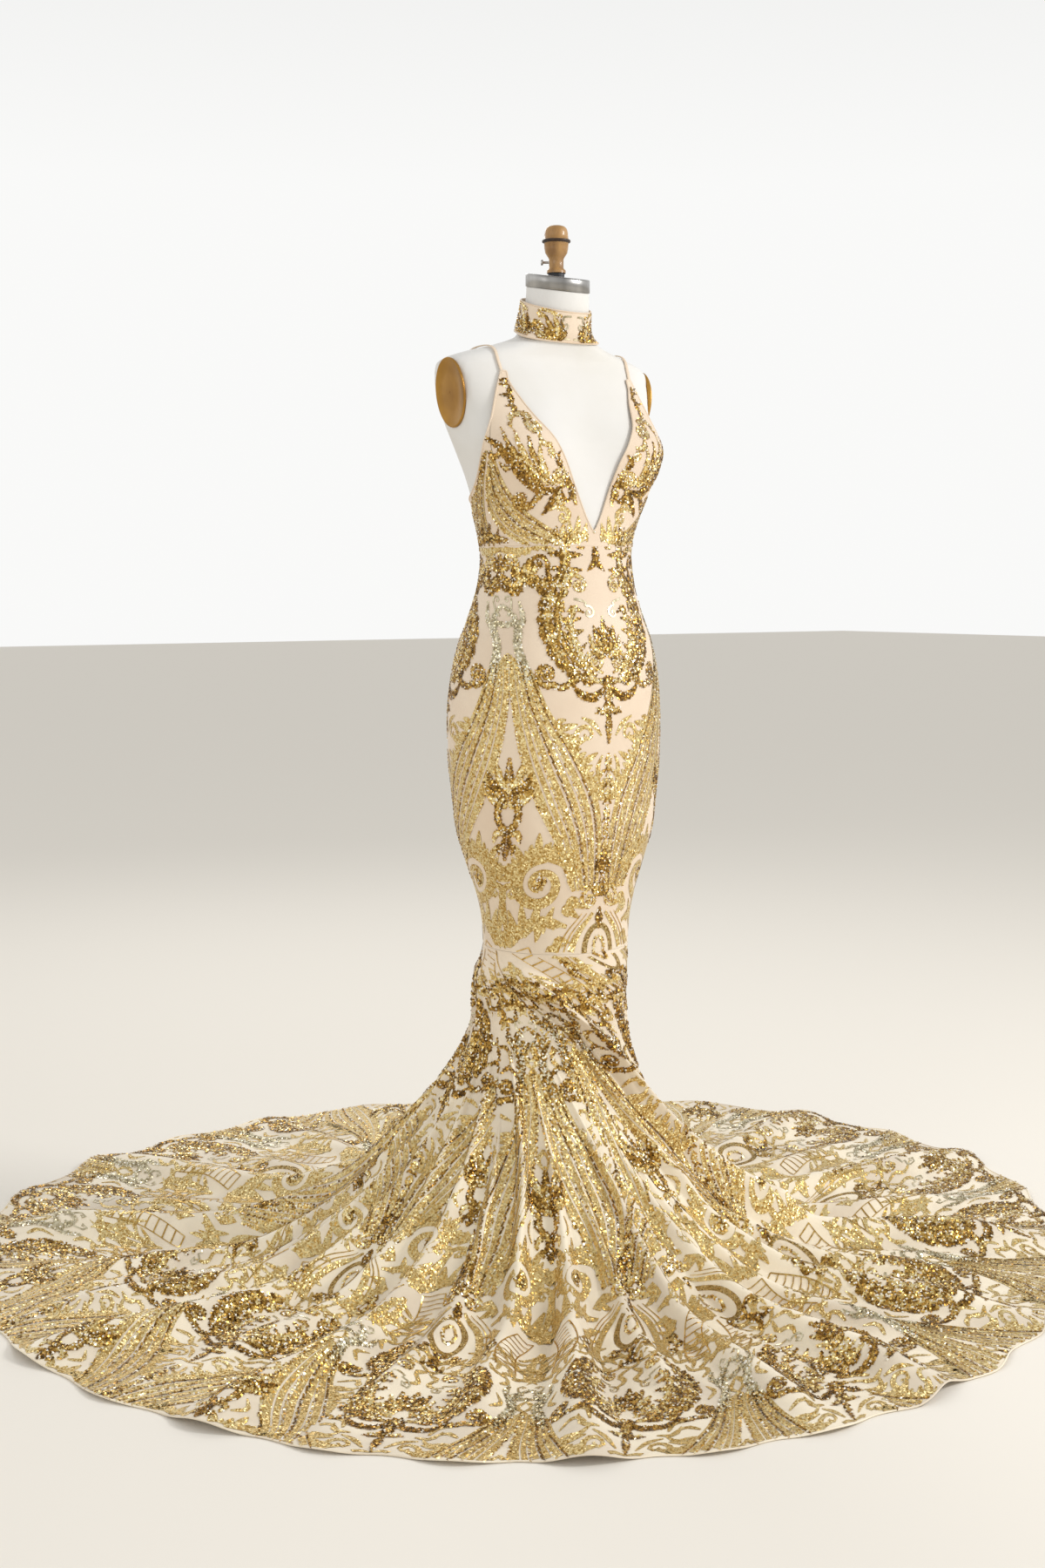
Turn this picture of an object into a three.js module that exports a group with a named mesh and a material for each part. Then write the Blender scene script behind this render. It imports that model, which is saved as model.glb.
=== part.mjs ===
// Evening gown with a circular train, worn by a limbless dress form on a round base.
// Units are millimetres, +Z is up, the wearer faces -Y and the wearer's left is +X.
// The origin is on the floor, on the axis of the form's pole.
import * as THREE from "three";

// Driving heights
const NECK_TOP_Z = 1566;
const NECK_BASE_Z = 1492;
const WAIST_Z = 1146;
const KNEE_Z = 500;
const FORM_BOTTOM_Z = 700;

// Cloth and clearances
const CLOTH = 1.8;
const SEAM_GAP = 0.3;
const FORM_GAP = 1.7;
const STRAP_GAP = 1.8;

// Train
const HEM_WAVE = 7;
const HEM_WAVES = 30;
const FLARE_POWER = 2.3;
const SWIRL_POWER = 2.7;
const FLOOR_SOFTNESS = 20;
const TRAIN_COLUMNS = 120;
const TRAIN_ROWS = 14;
const TRAIN_GORES = 6;

// Body grid
const COLUMN_DEGREES = 9;

// Stand
const POLE_RADIUS = 16;
const BASE_RADIUS = 190;
const BASE_HEIGHT = 14;

// Choker
const CHOKER_HEIGHT = 53;
const CHOKER_LOW_Z = 1490;
const CHOKER_TILT = 0.33;
const CHOKER_GAP = 1.5;
const CHOKER_EASE = { angle: -126, spread: 70, gap: 4 };

const COLOURS = {
  lace: { color: 0xd9b66a, roughness: 0.45, metalness: 0.35 },
  linen: { color: 0xf2ead9, roughness: 0.85, metalness: 0 },
  plate: { color: 0xa8783c, roughness: 0.45, metalness: 0.1 },
  steel: { color: 0xb9bcc0, roughness: 0.25, metalness: 1 },
  knob: { color: 0xa37c46, roughness: 0.5, metalness: 0.1 },
  iron: { color: 0x2a2a2c, roughness: 0.5, metalness: 0.8 },
};

// Cross sections of the dressed body, measured on the outside of the cloth.
// Width is to each side, front and back are measured from a centre set back by lean.
const BODY = [
  { z: 430, width: 118, front: 116, back: 112, lean: 0, square: 2.0 },
  { z: 500, width: 120, front: 117, back: 112, lean: 0, square: 2.0 },
  { z: 540, width: 123, front: 118, back: 112, lean: 0, square: 2.0 },
  { z: 580, width: 133, front: 121, back: 116, lean: 0, square: 2.0 },
  { z: 640, width: 154, front: 129, back: 125, lean: 0, square: 2.05 },
  { z: 690, width: 169, front: 136, back: 136, lean: 0, square: 2.1 },
  { z: 750, width: 178, front: 141, back: 140, lean: 0, square: 2.05 },
  { z: 810, width: 184, front: 144, back: 146, lean: 0, square: 2.05 },
  { z: 870, width: 185, front: 145, back: 147, lean: 0, square: 2.05 },
  { z: 930, width: 180, front: 144, back: 141, lean: 0, square: 2.05 },
  { z: 990, width: 166, front: 137, back: 127, lean: 0, square: 2.1 },
  { z: 1040, width: 147, front: 125, back: 112, lean: 0, square: 2.1 },
  { z: 1090, width: 133, front: 114, back: 100, lean: 0, square: 2.1 },
  { z: 1125, width: 129, front: 110, back: 98, lean: 0, square: 2.1 },
  { z: 1160, width: 132, front: 109, back: 100, lean: 2, square: 2.1 },
  { z: 1200, width: 140, front: 109, back: 104, lean: 4, square: 2.15 },
  { z: 1250, width: 152, front: 108, back: 108, lean: 8, square: 2.2 },
  { z: 1300, width: 170, front: 108, back: 110, lean: 14, square: 2.25 },
  { z: 1345, width: 187, front: 98, back: 110, lean: 20, square: 2.35 },
  { z: 1385, width: 198, front: 86, back: 104, lean: 25, square: 2.45 },
  { z: 1415, width: 204, front: 76, back: 98, lean: 28, square: 2.5 },
  { z: 1438, width: 203, front: 66, back: 90, lean: 28, square: 2.55 },
  { z: 1450, width: 192, front: 61, back: 83, lean: 26, square: 2.5 },
  { z: 1460, width: 164, front: 59, back: 76, lean: 22, square: 2.4 },
  { z: 1471, width: 122, front: 58, back: 67, lean: 17, square: 2.3 },
  { z: 1482, width: 88, front: 57, back: 60, lean: 11, square: 2.2 },
  { z: 1492, width: 69, front: 55, back: 56, lean: 5, square: 2.1 },
  { z: 1504, width: 63, front: 53, back: 54, lean: 1, square: 2.0 },
  { z: 1566, width: 57, front: 50, back: 50, lean: -8, square: 2.0 },
];

// The bust is one soft round swelling on each side of the centre front. The form is
// less full than the cups of the gown.
const BUST = { angle: 52, spread: 27, z: 1300, above: 60, below: 90, depth: 40, formDepth: 33 };

// Top edge of the bodice, from the centre front to the centre back of one side.
const NECKLINE = [
  { angle: 0, z: 1170 },
  { angle: 6.4, z: 1187 },
  { angle: 13.4, z: 1218 },
  { angle: 20, z: 1252 },
  { angle: 26, z: 1286 },
  { angle: 33, z: 1318 },
  { angle: 42.5, z: 1346 },
  { angle: 52, z: 1376 },
  { angle: 60, z: 1407 },
  { angle: 62.8, z: 1424 },
  { angle: 64.8, z: 1424 },
  { angle: 65, z: 1392 },
  { angle: 65.3, z: 1346 },
  { angle: 67.3, z: 1318 },
  { angle: 73.8, z: 1283 },
  { angle: 85, z: 1252 },
  { angle: 101, z: 1229 },
  { angle: 135, z: 1210 },
  { angle: 160, z: 1200 },
  { angle: 180, z: 1197 },
];
const CUP_COLUMNS = [
  0, 7, 14, 21, 28, 35, 42, 49, 56, 62.8, 64.8, 65, 65.2, 65.5, 66, 67.5, 70, 74, 80, 90,
];
const STRAP_ANGLE = 63.8;

// Where the skirt starts to flare, and where it meets the floor, for each direction.
const FLARE = [
  { angle: -126, top: 525, floor: 490 },
  { angle: -80, top: 510, floor: 450 },
  { angle: -36, top: 450, floor: 410 },
  { angle: 0, top: 410, floor: 385 },
  { angle: 30, top: 395, floor: 375 },
  { angle: 54, top: 410, floor: 385 },
  { angle: 100, top: 470, floor: 425 },
  { angle: 160, top: 520, floor: 480 },
  { angle: 200, top: 530, floor: 500 },
];

// Distance from the pole's axis to the hem, for each direction: longer behind the wearer.
const HEM = [
  { angle: -160, reach: 950 },
  { angle: -138, reach: 975 },
  { angle: -120, reach: 930 },
  { angle: -98, reach: 888 },
  { angle: -66, reach: 825 },
  { angle: -36, reach: 792 },
  { angle: 0, reach: 775 },
  { angle: 32, reach: 786 },
  { angle: 50, reach: 812 },
  { angle: 66, reach: 858 },
  { angle: 87, reach: 918 },
  { angle: 110, reach: 930 },
  { angle: 150, reach: 905 },
  { angle: 175, reach: 925 },
];

// How far the cloth turns round the wearer on its way from the knee to the hem, in
// degrees, for each direction of the hem. The folds follow this turn.
const SWIRL = [
  { angle: -150, turn: -22 },
  { angle: -126, turn: -8 },
  { angle: -100, turn: 12 },
  { angle: -70, turn: 36 },
  { angle: -36, turn: 66 },
  { angle: 0, turn: 97 },
  { angle: 30, turn: 121 },
  { angle: 58, turn: 138 },
  { angle: 90, turn: 108 },
  { angle: 120, turn: 60 },
  { angle: 150, turn: 14 },
  { angle: 180, turn: -18 },
];

// Folds of the train: direction at the hem and half width in degrees, height of the
// fold where the cloth hangs and where it lies on the floor, and how much of the
// floor it crosses before it fades, where 1 is all the way to the hem.
const FOLDS = [
  { angle: -177, half: 4.5, hang: 12, floor: 22, reach: 0.8 },
  { angle: -165, half: 4, hang: 9, floor: 15, reach: 0.6 },
  { angle: -153, half: 5, hang: 16, floor: 32, reach: 1.0 },
  { angle: -141, half: 4, hang: 10, floor: 16, reach: 0.7 },
  { angle: -129, half: 5.5, hang: 22, floor: 40, reach: 0.9 },
  { angle: -117, half: 4, hang: 14, floor: 18, reach: 0.6 },
  { angle: -105, half: 4.5, hang: 18, floor: 20, reach: 0.8 },
  { angle: -93, half: 5, hang: 22, floor: 30, reach: 1.0 },
  { angle: -81, half: 4.5, hang: 18, floor: 20, reach: 0.6 },
  { angle: -69, half: 5, hang: 24, floor: 34, reach: 1.0 },
  { angle: -57, half: 4, hang: 18, floor: 22, reach: 0.7 },
  { angle: -45, half: 4.5, hang: 24, floor: 26, reach: 0.8 },
  { angle: -33, half: 5, hang: 26, floor: 36, reach: 1.0 },
  { angle: -21, half: 4, hang: 20, floor: 22, reach: 0.7 },
  { angle: -9, half: 4.5, hang: 24, floor: 26, reach: 0.9 },
  { angle: 6, half: 5, hang: 26, floor: 36, reach: 1.0 },
  { angle: 18, half: 4, hang: 20, floor: 20, reach: 0.7 },
  { angle: 30, half: 4.5, hang: 22, floor: 30, reach: 0.9 },
  { angle: 42, half: 4, hang: 20, floor: 22, reach: 0.7 },
  { angle: 57, half: 5.5, hang: 26, floor: 38, reach: 0.9 },
  { angle: 72, half: 4.5, hang: 12, floor: 22, reach: 0.8 },
  { angle: 87, half: 5, hang: 12, floor: 28, reach: 1.0 },
  { angle: 99, half: 4, hang: 10, floor: 18, reach: 0.8 },
  { angle: 111, half: 4.5, hang: 12, floor: 26, reach: 1.0 },
  { angle: 126, half: 4.5, hang: 10, floor: 18, reach: 0.7 },
  { angle: 141, half: 5, hang: 12, floor: 26, reach: 0.9 },
  { angle: 156, half: 4, hang: 10, floor: 16, reach: 0.7 },
  { angle: 168, half: 4.5, hang: 12, floor: 22, reach: 0.9 },
];
const FOLD_GROWS_OVER = 190;
const VALLEY_DEPTH = 9;

// The cloth bunches at the wearer's right knee, where the folds of the front meet.
const GATHER = { angle: -118, spread: 26, z: 448, height: 42, depth: 13 };

const DEGREE = Math.PI / 180;

function smoothStep(x) {
  const t = Math.min(1, Math.max(0, x));
  return t * t * (3 - 2 * t);
}

// Smooth value between the rows of a table, with the slope at each row from its neighbours.
function hermite(x, x0, x1, y0, y1, m0, m1) {
  const span = x1 - x0;
  const t = (x - x0) / span;
  const t2 = t * t;
  const t3 = t2 * t;
  return (2 * t3 - 3 * t2 + 1) * y0 + (t3 - 2 * t2 + t) * span * m0 + (3 * t2 - 2 * t3) * y1
    + (t3 - t2) * span * m1;
}

function limitedSlope(a, b, c, key, field) {
  const before = (b[field] - a[field]) / (b[key] - a[key]);
  const after = (c[field] - b[field]) / (c[key] - b[key]);
  if (before * after <= 0) return 0;
  return (2 * before * after) / (before + after);
}

function lookUp(table, key, field, x) {
  const last = table.length - 1;
  if (x <= table[0][key]) return table[0][field];
  if (x >= table[last][key]) return table[last][field];
  let i = 0;
  while (x > table[i + 1][key]) i += 1;
  const slopes = [i, i + 1].map((k) => {
    if (k === 0 || k === last) return 0;
    return limitedSlope(table[k - 1], table[k], table[k + 1], key, field);
  });
  const [a, b] = [table[i], table[i + 1]];
  return hermite(x, a[key], b[key], a[field], b[field], slopes[0], slopes[1]);
}

// The same for a table of directions, which closes on itself after 360 degrees.
function lookRound(table, field, angle) {
  const first = table[0].angle;
  const turned = first + ((((angle - first) % 360) + 360) % 360);
  const shifted = (row, turns) => ({ angle: row.angle + 360 * turns, [field]: row[field] });
  const wrapped = [
    ...table.slice(-2).map((row) => shifted(row, -1)),
    ...table.map((row) => shifted(row, 0)),
    ...table.slice(0, 2).map((row) => shifted(row, 1)),
  ];
  return lookUp(wrapped, "angle", field, turned);
}

function angleBetween(a, b) {
  return ((((a - b) % 360) + 540) % 360) - 180;
}

function bell(x, spread) {
  return Math.exp(-((x / spread) ** 2));
}

// Distance from the leaning centre to the cloth's outside, in one direction at one height.
function bodyRadius(angle, z, bustDepth = BUST.depth) {
  const at = (field) => lookUp(BODY, "z", field, z);
  const s = Math.abs(Math.sin(angle * DEGREE));
  const c = Math.cos(angle * DEGREE);
  const depth = at(c > 0 ? "front" : "back");
  const square = at("square");
  const plain = ((s / at("width")) ** square + (Math.abs(c) / depth) ** square) ** (-1 / square);
  const rise = z - BUST.z;
  const height = bell(rise, rise > 0 ? BUST.above : BUST.below);
  const sides = [BUST.angle, -BUST.angle].map((a) => bell(angleBetween(angle, a), BUST.spread));
  return plain + bustDepth * height * (sides[0] + sides[1]);
}

// Radial distance that one millimetre square to the surface takes up, at one place.
const ANGLE_STEP = 0.5;
const HEIGHT_STEP = 2;
const MOST_SLANT = 2.5;

function slant(angle, z, bustDepth) {
  const radius = (a, height) => bodyRadius(a, height, bustDepth);
  const lean = (height) => lookUp(BODY, "z", "lean", height);
  const aside = radius(angle + ANGLE_STEP, z) - radius(angle - ANGLE_STEP, z);
  const turn = aside / (2 * ANGLE_STEP * DEGREE * radius(angle, z));
  const leaning = (lean(z + HEIGHT_STEP) - lean(z - HEIGHT_STEP)) * Math.cos(angle * DEGREE);
  const growth = radius(angle, z + HEIGHT_STEP) - radius(angle, z - HEIGHT_STEP);
  const rise = (growth - leaning) / (2 * HEIGHT_STEP);
  return Math.min(MOST_SLANT, Math.hypot(1, turn, rise));
}

function bodyPoint(angle, z, inset, bustDepth = BUST.depth) {
  const radius = bodyRadius(angle, z, bustDepth) - inset * slant(angle, z, bustDepth);
  const lean = lookUp(BODY, "z", "lean", z);
  return new THREE.Vector3(
    radius * Math.sin(angle * DEGREE),
    lean - radius * Math.cos(angle * DEGREE),
    z,
  );
}

// A closed solid between an outer and an inner grid of points. A tube closes round its columns.
function wall(columns, rows, outer, inner, isTube) {
  const positions = [];
  const count = columns * rows;
  for (const side of [outer, inner]) {
    for (let j = 0; j < rows; j += 1) {
      for (let i = 0; i < columns; i += 1) positions.push(...side(i, j).toArray());
    }
  }
  const index = [];
  const quad = (a, b, c, d) => index.push(a, b, c, a, c, d);
  const out = (i, j) => (i % columns) + j * columns;
  const inn = (i, j) => out(i, j) + count;
  const spans = isTube ? columns : columns - 1;
  for (let j = 0; j + 1 < rows; j += 1) {
    for (let i = 0; i < spans; i += 1) {
      quad(out(i, j), out(i + 1, j), out(i + 1, j + 1), out(i, j + 1));
      quad(inn(i, j), inn(i, j + 1), inn(i + 1, j + 1), inn(i + 1, j));
    }
  }
  const top = rows - 1;
  for (let i = 0; i < spans; i += 1) {
    quad(out(i, 0), inn(i, 0), inn(i + 1, 0), out(i + 1, 0));
    quad(out(i, top), out(i + 1, top), inn(i + 1, top), inn(i, top));
  }
  if (!isTube) {
    const side = columns - 1;
    for (let j = 0; j < top; j += 1) {
      quad(out(0, j), out(0, j + 1), inn(0, j + 1), inn(0, j));
      quad(out(side, j), inn(side, j), inn(side, j + 1), out(side, j + 1));
    }
  }
  return toGeometry(positions, index);
}

function toGeometry(positions, index) {
  const geometry = new THREE.BufferGeometry();
  geometry.setAttribute("position", new THREE.Float32BufferAttribute(positions, 3));
  geometry.setIndex(index);
  geometry.computeVertexNormals();
  return geometry;
}

// A closed solid through a stack of rings, with a flat cap on the first and the last.
function stack(columns, rings) {
  const positions = rings.flatMap((ring) => ring.flatMap((point) => point.toArray()));
  const index = [];
  for (let j = 0; j + 1 < rings.length; j += 1) {
    for (let i = 0; i < columns; i += 1) {
      const next = (i + 1) % columns;
      const [a, b] = [j * columns, (j + 1) * columns];
      if (i < columns / 2) index.push(a + i, a + next, b + next, a + i, b + next, b + i);
      else index.push(a + i, a + next, b + i, a + next, b + next, b + i);
    }
  }
  const capCentres = [rings[0], rings[rings.length - 1]].map((ring) => {
    const sum = ring.reduce((total, point) => total.add(point), new THREE.Vector3());
    return sum.divideScalar(columns);
  });
  const low = rings.length * columns;
  capCentres.forEach((centre) => positions.push(...centre.toArray()));
  const topRow = (rings.length - 1) * columns;
  for (let i = 0; i < columns; i += 1) {
    const next = (i + 1) % columns;
    index.push(low, next, i, low + 1, topRow + i, topRow + next);
  }
  return toGeometry(positions, index);
}

function mirrored(geometry) {
  const positions = geometry.getAttribute("position").array.map((value, k) => (
    k % 3 === 0 ? -value : value
  ));
  const index = geometry.getIndex().array.toReversed();
  return toGeometry(positions, [...index]);
}

function named(name, geometry, look) {
  const mesh = new THREE.Mesh(geometry, new THREE.MeshStandardMaterial(COLOURS[look]));
  mesh.name = name;
  return mesh;
}

function steps(from, to, count) {
  return Array.from({ length: count + 1 }, (_, k) => from + ((to - from) * k) / count);
}

// Trims each end of a panel by half a seam gap, measured round the body.
function seamed(angles, radius) {
  const trim = SEAM_GAP / 2 / radius / DEGREE;
  const last = angles.length - 1;
  return angles.map((angle, i) => {
    if (i === 0) return angle + trim;
    if (i === last) return angle - trim;
    return angle;
  });
}

function necklineAt(angle) {
  return lookUp(NECKLINE, "angle", "z", Math.abs(angleBetween(angle, 0)));
}

const BODICE_ROWS = 9;

function bodicePanel(angles) {
  const trimmed = seamed(angles, 100);
  const heightAt = (i, j) => {
    const low = WAIST_Z + SEAM_GAP / 2;
    return low + ((necklineAt(angles[i]) - low) * j) / (BODICE_ROWS - 1);
  };
  const point = (inset) => (i, j) => bodyPoint(trimmed[i], heightAt(i, j), inset);
  return wall(angles.length, BODICE_ROWS, point(0), point(CLOTH), false);
}

const SKIRT_ROWS = 13;

function skirtPanel(from, to) {
  const angles = seamed(steps(from, to, Math.round((to - from) / COLUMN_DEGREES)), 110);
  const heights = steps(KNEE_Z + SEAM_GAP / 2, WAIST_Z - SEAM_GAP / 2, SKIRT_ROWS - 1);
  const point = (inset) => (i, j) => bodyPoint(angles[i], heights[j], inset);
  return wall(angles.length, SKIRT_ROWS, point(0), point(CLOTH), false);
}

// The strap lies over the shoulder along rays from a point inside it, found on the form.
const STRAP = {
  width: 6, bulge: 15, centreY: 30, centreZ: 1375, rows: 20, front: 2.5, back: -1.5, reach: 260,
};

function shoulderPoint(x, ray, lift) {
  const direction = new THREE.Vector3(0, -Math.cos(ray), Math.sin(ray));
  let near = 0;
  let far = STRAP.reach;
  for (let k = 0; k < 40; k += 1) {
    const middle = (near + far) / 2;
    const y = STRAP.centreY + direction.y * middle;
    const z = STRAP.centreZ + direction.z * middle;
    const lean = lookUp(BODY, "z", "lean", z);
    const angle = Math.atan2(x, lean - y) / DEGREE;
    const inset = (CLOTH + FORM_GAP) * slant(angle, z, BUST.formDepth);
    const inside = Math.hypot(x, y - lean) < bodyRadius(angle, z, BUST.formDepth) - inset;
    if (inside) near = middle;
    else far = middle;
  }
  const reach = near + lift;
  return new THREE.Vector3(
    x,
    STRAP.centreY + direction.y * reach,
    STRAP.centreZ + direction.z * reach,
  );
}

function strap() {
  const apex = bodyPoint(STRAP_ANGLE, necklineAt(STRAP_ANGLE), 0);
  const backTop = bodyPoint(180 - 38, necklineAt(142), 0);
  const rayTo = (end, above) => {
    const ray = Math.atan2(end.z + above - STRAP.centreZ, STRAP.centreY - end.y);
    return ray < 0 ? ray + 2 * Math.PI : ray;
  };
  const rays = steps(rayTo(apex, STRAP.front), rayTo(backTop, STRAP.back), STRAP.rows - 1);
  const widths = [-STRAP.width / 2, 0, STRAP.width / 2];
  const point = (lift) => (i, j) => {
    const share = j / (STRAP.rows - 1);
    const middle = THREE.MathUtils.lerp(apex.x, Math.abs(backTop.x), smoothStep(share));
    const outward = STRAP.bulge * Math.sin(share * Math.PI);
    return shoulderPoint(middle + outward + widths[i], rays[j], lift);
  };
  const outside = point(STRAP_GAP + CLOTH);
  return wall(widths.length, STRAP.rows, outside, point(STRAP_GAP), false);
}

// The neck leans forward, so its rings are lower at the front.
const NECK_TILT = 0.2;

function neckTilt(z) {
  return NECK_TILT * smoothStep((z - NECK_BASE_Z) / (NECK_TOP_Z - NECK_BASE_Z));
}

function formPoint(angle, z, inset) {
  const point = bodyPoint(angle, z, inset, BUST.formDepth);
  point.z += neckTilt(z) * (point.y - lookUp(BODY, "z", "lean", z));
  return point;
}

function formRing(z, inset, columns) {
  return Array.from({ length: columns }, (_, i) => formPoint((i * 360) / columns, z, inset));
}

const FORM_COLUMNS = 36;
const FORM_RINGS = [
  700, 708, 750, 810, 870, 930, 990, 1040, 1085, 1125, 1165, 1205, 1245, 1280, 1310, 1335, 1356,
  1374, 1390, 1405, 1420, 1436, 1447, 1456, 1465, 1474, 1483, 1492, 1504, 1530, 1566,
];
const FORM_EDGE = 8;
const ARM_PLATE = { x: 186, y: 24, z: 1391, tilt: 0.12, halfWidth: 41, halfHeight: 56 };

// The form is cut flat where each arm would be, on a plane that leans out at the top.
function cutAtArm(point) {
  const limit = ARM_PLATE.x + ARM_PLATE.tilt * (point.z - ARM_PLATE.z);
  point.x = Math.sign(point.x) * Math.min(Math.abs(point.x), limit);
  return point;
}

function formTorso() {
  const inset = CLOTH + FORM_GAP;
  const rings = FORM_RINGS.map((z) => {
    const rounding = Math.max(0, FORM_BOTTOM_Z + FORM_EDGE - z);
    return formRing(z, inset + rounding, FORM_COLUMNS).map(cutAtArm);
  });
  return named("form_torso", stack(FORM_COLUMNS, rings), "linen");
}

const ARM_PLATE_THICK = 4;
const ARM_PLATE_COLUMNS = 24;

function armPlate(name, side) {
  const ring = (scale, out) => Array.from({ length: ARM_PLATE_COLUMNS }, (_, i) => {
    const turn = (i * 2 * Math.PI) / ARM_PLATE_COLUMNS;
    const rise = ARM_PLATE.halfHeight * scale * Math.sin(turn);
    const x = ARM_PLATE.x + ARM_PLATE.tilt * rise + SEAM_GAP + out;
    return new THREE.Vector3(
      side * x,
      ARM_PLATE.y + side * ARM_PLATE.halfWidth * scale * Math.cos(turn),
      ARM_PLATE.z + rise,
    );
  });
  const rings = [ring(1, 0), ring(1, ARM_PLATE_THICK - 1), ring(0.96, ARM_PLATE_THICK)];
  return named(name, stack(ARM_PLATE_COLUMNS, rings), "plate");
}

const CAP = { height: 22, overhang: 1.5, columns: 36, bevel: 1.5 };

function neckCap() {
  const low = NECK_TOP_Z + SEAM_GAP;
  const inset = CLOTH + FORM_GAP;
  const ring = (rise, out) => formRing(NECK_TOP_Z, inset - out, CAP.columns)
    .map((point) => point.add(new THREE.Vector3(0, 0, low - NECK_TOP_Z + rise)));
  const rings = [
    ring(0, CAP.overhang),
    ring(CAP.height - CAP.bevel, CAP.overhang),
    ring(CAP.height, CAP.overhang - CAP.bevel),
  ];
  return named("form_neck_cap", stack(CAP.columns, rings), "steel");
}

// Profile of the knob: radius and height above the neck cap.
const KNOB_PROFILE = [
  { radius: 15.5, rise: 0 },
  { radius: 15.5, rise: 5 },
  { radius: 12, rise: 8.5 },
  { radius: 12, rise: 23 },
  { radius: 14, rise: 27 },
  { radius: 18, rise: 33 },
  { radius: 19.6, rise: 41 },
  { radius: 20, rise: 49.5 },
  { radius: 23.5, rise: 51 },
  { radius: 23.5, rise: 54 },
  { radius: 20, rise: 56 },
  { radius: 19, rise: 67 },
  { radius: 16.5, rise: 74 },
  { radius: 9, rise: 78 },
];
const KNOB_SIDES = 20;
const KNOB_FOOT = { radius: 13.5, height: 5 };
const KNOB_Y = -4;
const CAP_TOP_Z = NECK_TOP_Z + SEAM_GAP + CAP.height;

function lathed(profile) {
  const points = [
    new THREE.Vector2(0, profile[0].rise),
    ...profile.map((row) => new THREE.Vector2(row.radius, row.rise)),
    new THREE.Vector2(0, profile[profile.length - 1].rise),
  ];
  return new THREE.LatheGeometry(points, KNOB_SIDES);
}

function upright(mesh, y, z) {
  mesh.rotation.x = Math.PI / 2;
  mesh.position.set(0, y, z);
  return mesh;
}

// A dark washer stands between the slanting cap and the level knob.
function knobFoot() {
  const sides = KNOB_SIDES;
  const ring = (z, tilt) => Array.from({ length: sides }, (_, i) => {
    const turn = (i * 2 * Math.PI) / sides;
    const y = KNOB_Y + KNOB_FOOT.radius * Math.sin(turn);
    const centreY = lookUp(BODY, "z", "lean", NECK_TOP_Z);
    return new THREE.Vector3(KNOB_FOOT.radius * Math.cos(turn), y, z + tilt * (y - centreY));
  });
  const rings = [
    ring(CAP_TOP_Z + SEAM_GAP, NECK_TILT),
    ring(CAP_TOP_Z + SEAM_GAP + KNOB_FOOT.height, 0),
  ];
  return named("form_knob_washer", stack(sides, rings), "iron");
}

const KNOB_Z = CAP_TOP_Z + KNOB_FOOT.height + 2 * SEAM_GAP;

function knob() {
  return upright(named("form_knob", lathed(KNOB_PROFILE), "knob"), KNOB_Y, KNOB_Z);
}

const SCREW_PROFILE = [
  { radius: 2, rise: 0 },
  { radius: 2, rise: 9 },
  { radius: 4.7, rise: 10 },
  { radius: 4.7, rise: 13 },
];
const SCREW_ANGLE = -36 - 90;
const SCREW_RISE = 18;

function thumbScrew() {
  const mesh = named("form_thumbscrew", lathed(SCREW_PROFILE), "iron");
  const group = new THREE.Group();
  mesh.rotation.z = -Math.PI / 2;
  mesh.position.x = 12 + SEAM_GAP;
  group.add(mesh);
  group.rotation.z = (SCREW_ANGLE - 90) * DEGREE;
  group.position.set(0, KNOB_Y, KNOB_Z + SCREW_RISE);
  return group;
}

const STAND_SIDES = 40;

function pole() {
  const length = FORM_BOTTOM_Z - BASE_HEIGHT - 2 * SEAM_GAP;
  const geometry = new THREE.CylinderGeometry(POLE_RADIUS, POLE_RADIUS, length, KNOB_SIDES);
  return upright(named("form_pole", geometry, "steel"), 0, BASE_HEIGHT + SEAM_GAP + length / 2);
}

function base() {
  const profile = [
    { radius: BASE_RADIUS, rise: 0 },
    { radius: BASE_RADIUS, rise: 6 },
    { radius: BASE_RADIUS - 4, rise: 9 },
    { radius: 30, rise: BASE_HEIGHT },
  ];
  const points = [
    new THREE.Vector2(0, 0),
    ...profile.map((row) => new THREE.Vector2(row.radius, row.rise)),
    new THREE.Vector2(0, BASE_HEIGHT),
  ];
  return upright(named("form_base", new THREE.LatheGeometry(points, STAND_SIDES), "iron"), 0, 0);
}

const CHOKER_COLUMNS = 36;
const CHOKER_ROWS = 5;

// The choker lies on the neck and stands off it at the wearer's right. Its edges slope
// down to the front more than the neck's top.
function chokerPoint(i, rise, out) {
  const angle = (i * 360) / CHOKER_COLUMNS;
  const ease = CHOKER_EASE.gap * bell(angleBetween(angle, CHOKER_EASE.angle), CHOKER_EASE.spread);
  const inset = CLOTH + FORM_GAP - CHOKER_GAP - ease - out;
  let z = CHOKER_LOW_Z + rise;
  for (let k = 0; k < 12; k += 1) {
    const point = formPoint(angle, z, inset);
    z += 0.7 * (CHOKER_LOW_Z + rise + CHOKER_TILT * point.y - point.z);
  }
  return formPoint(angle, z, inset);
}

function choker() {
  const rise = (j) => (CHOKER_HEIGHT * j) / (CHOKER_ROWS - 1);
  const geometry = wall(
    CHOKER_COLUMNS,
    CHOKER_ROWS,
    (i, j) => chokerPoint(i, rise(j), CLOTH),
    (i, j) => chokerPoint(i, rise(j), 0),
    true,
  );
  return named("choker", geometry, "lace");
}

function hemRadius(angle) {
  return lookRound(HEM, "reach", angle) + HEM_WAVE * Math.sin(HEM_WAVES * angle * DEGREE);
}

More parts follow.
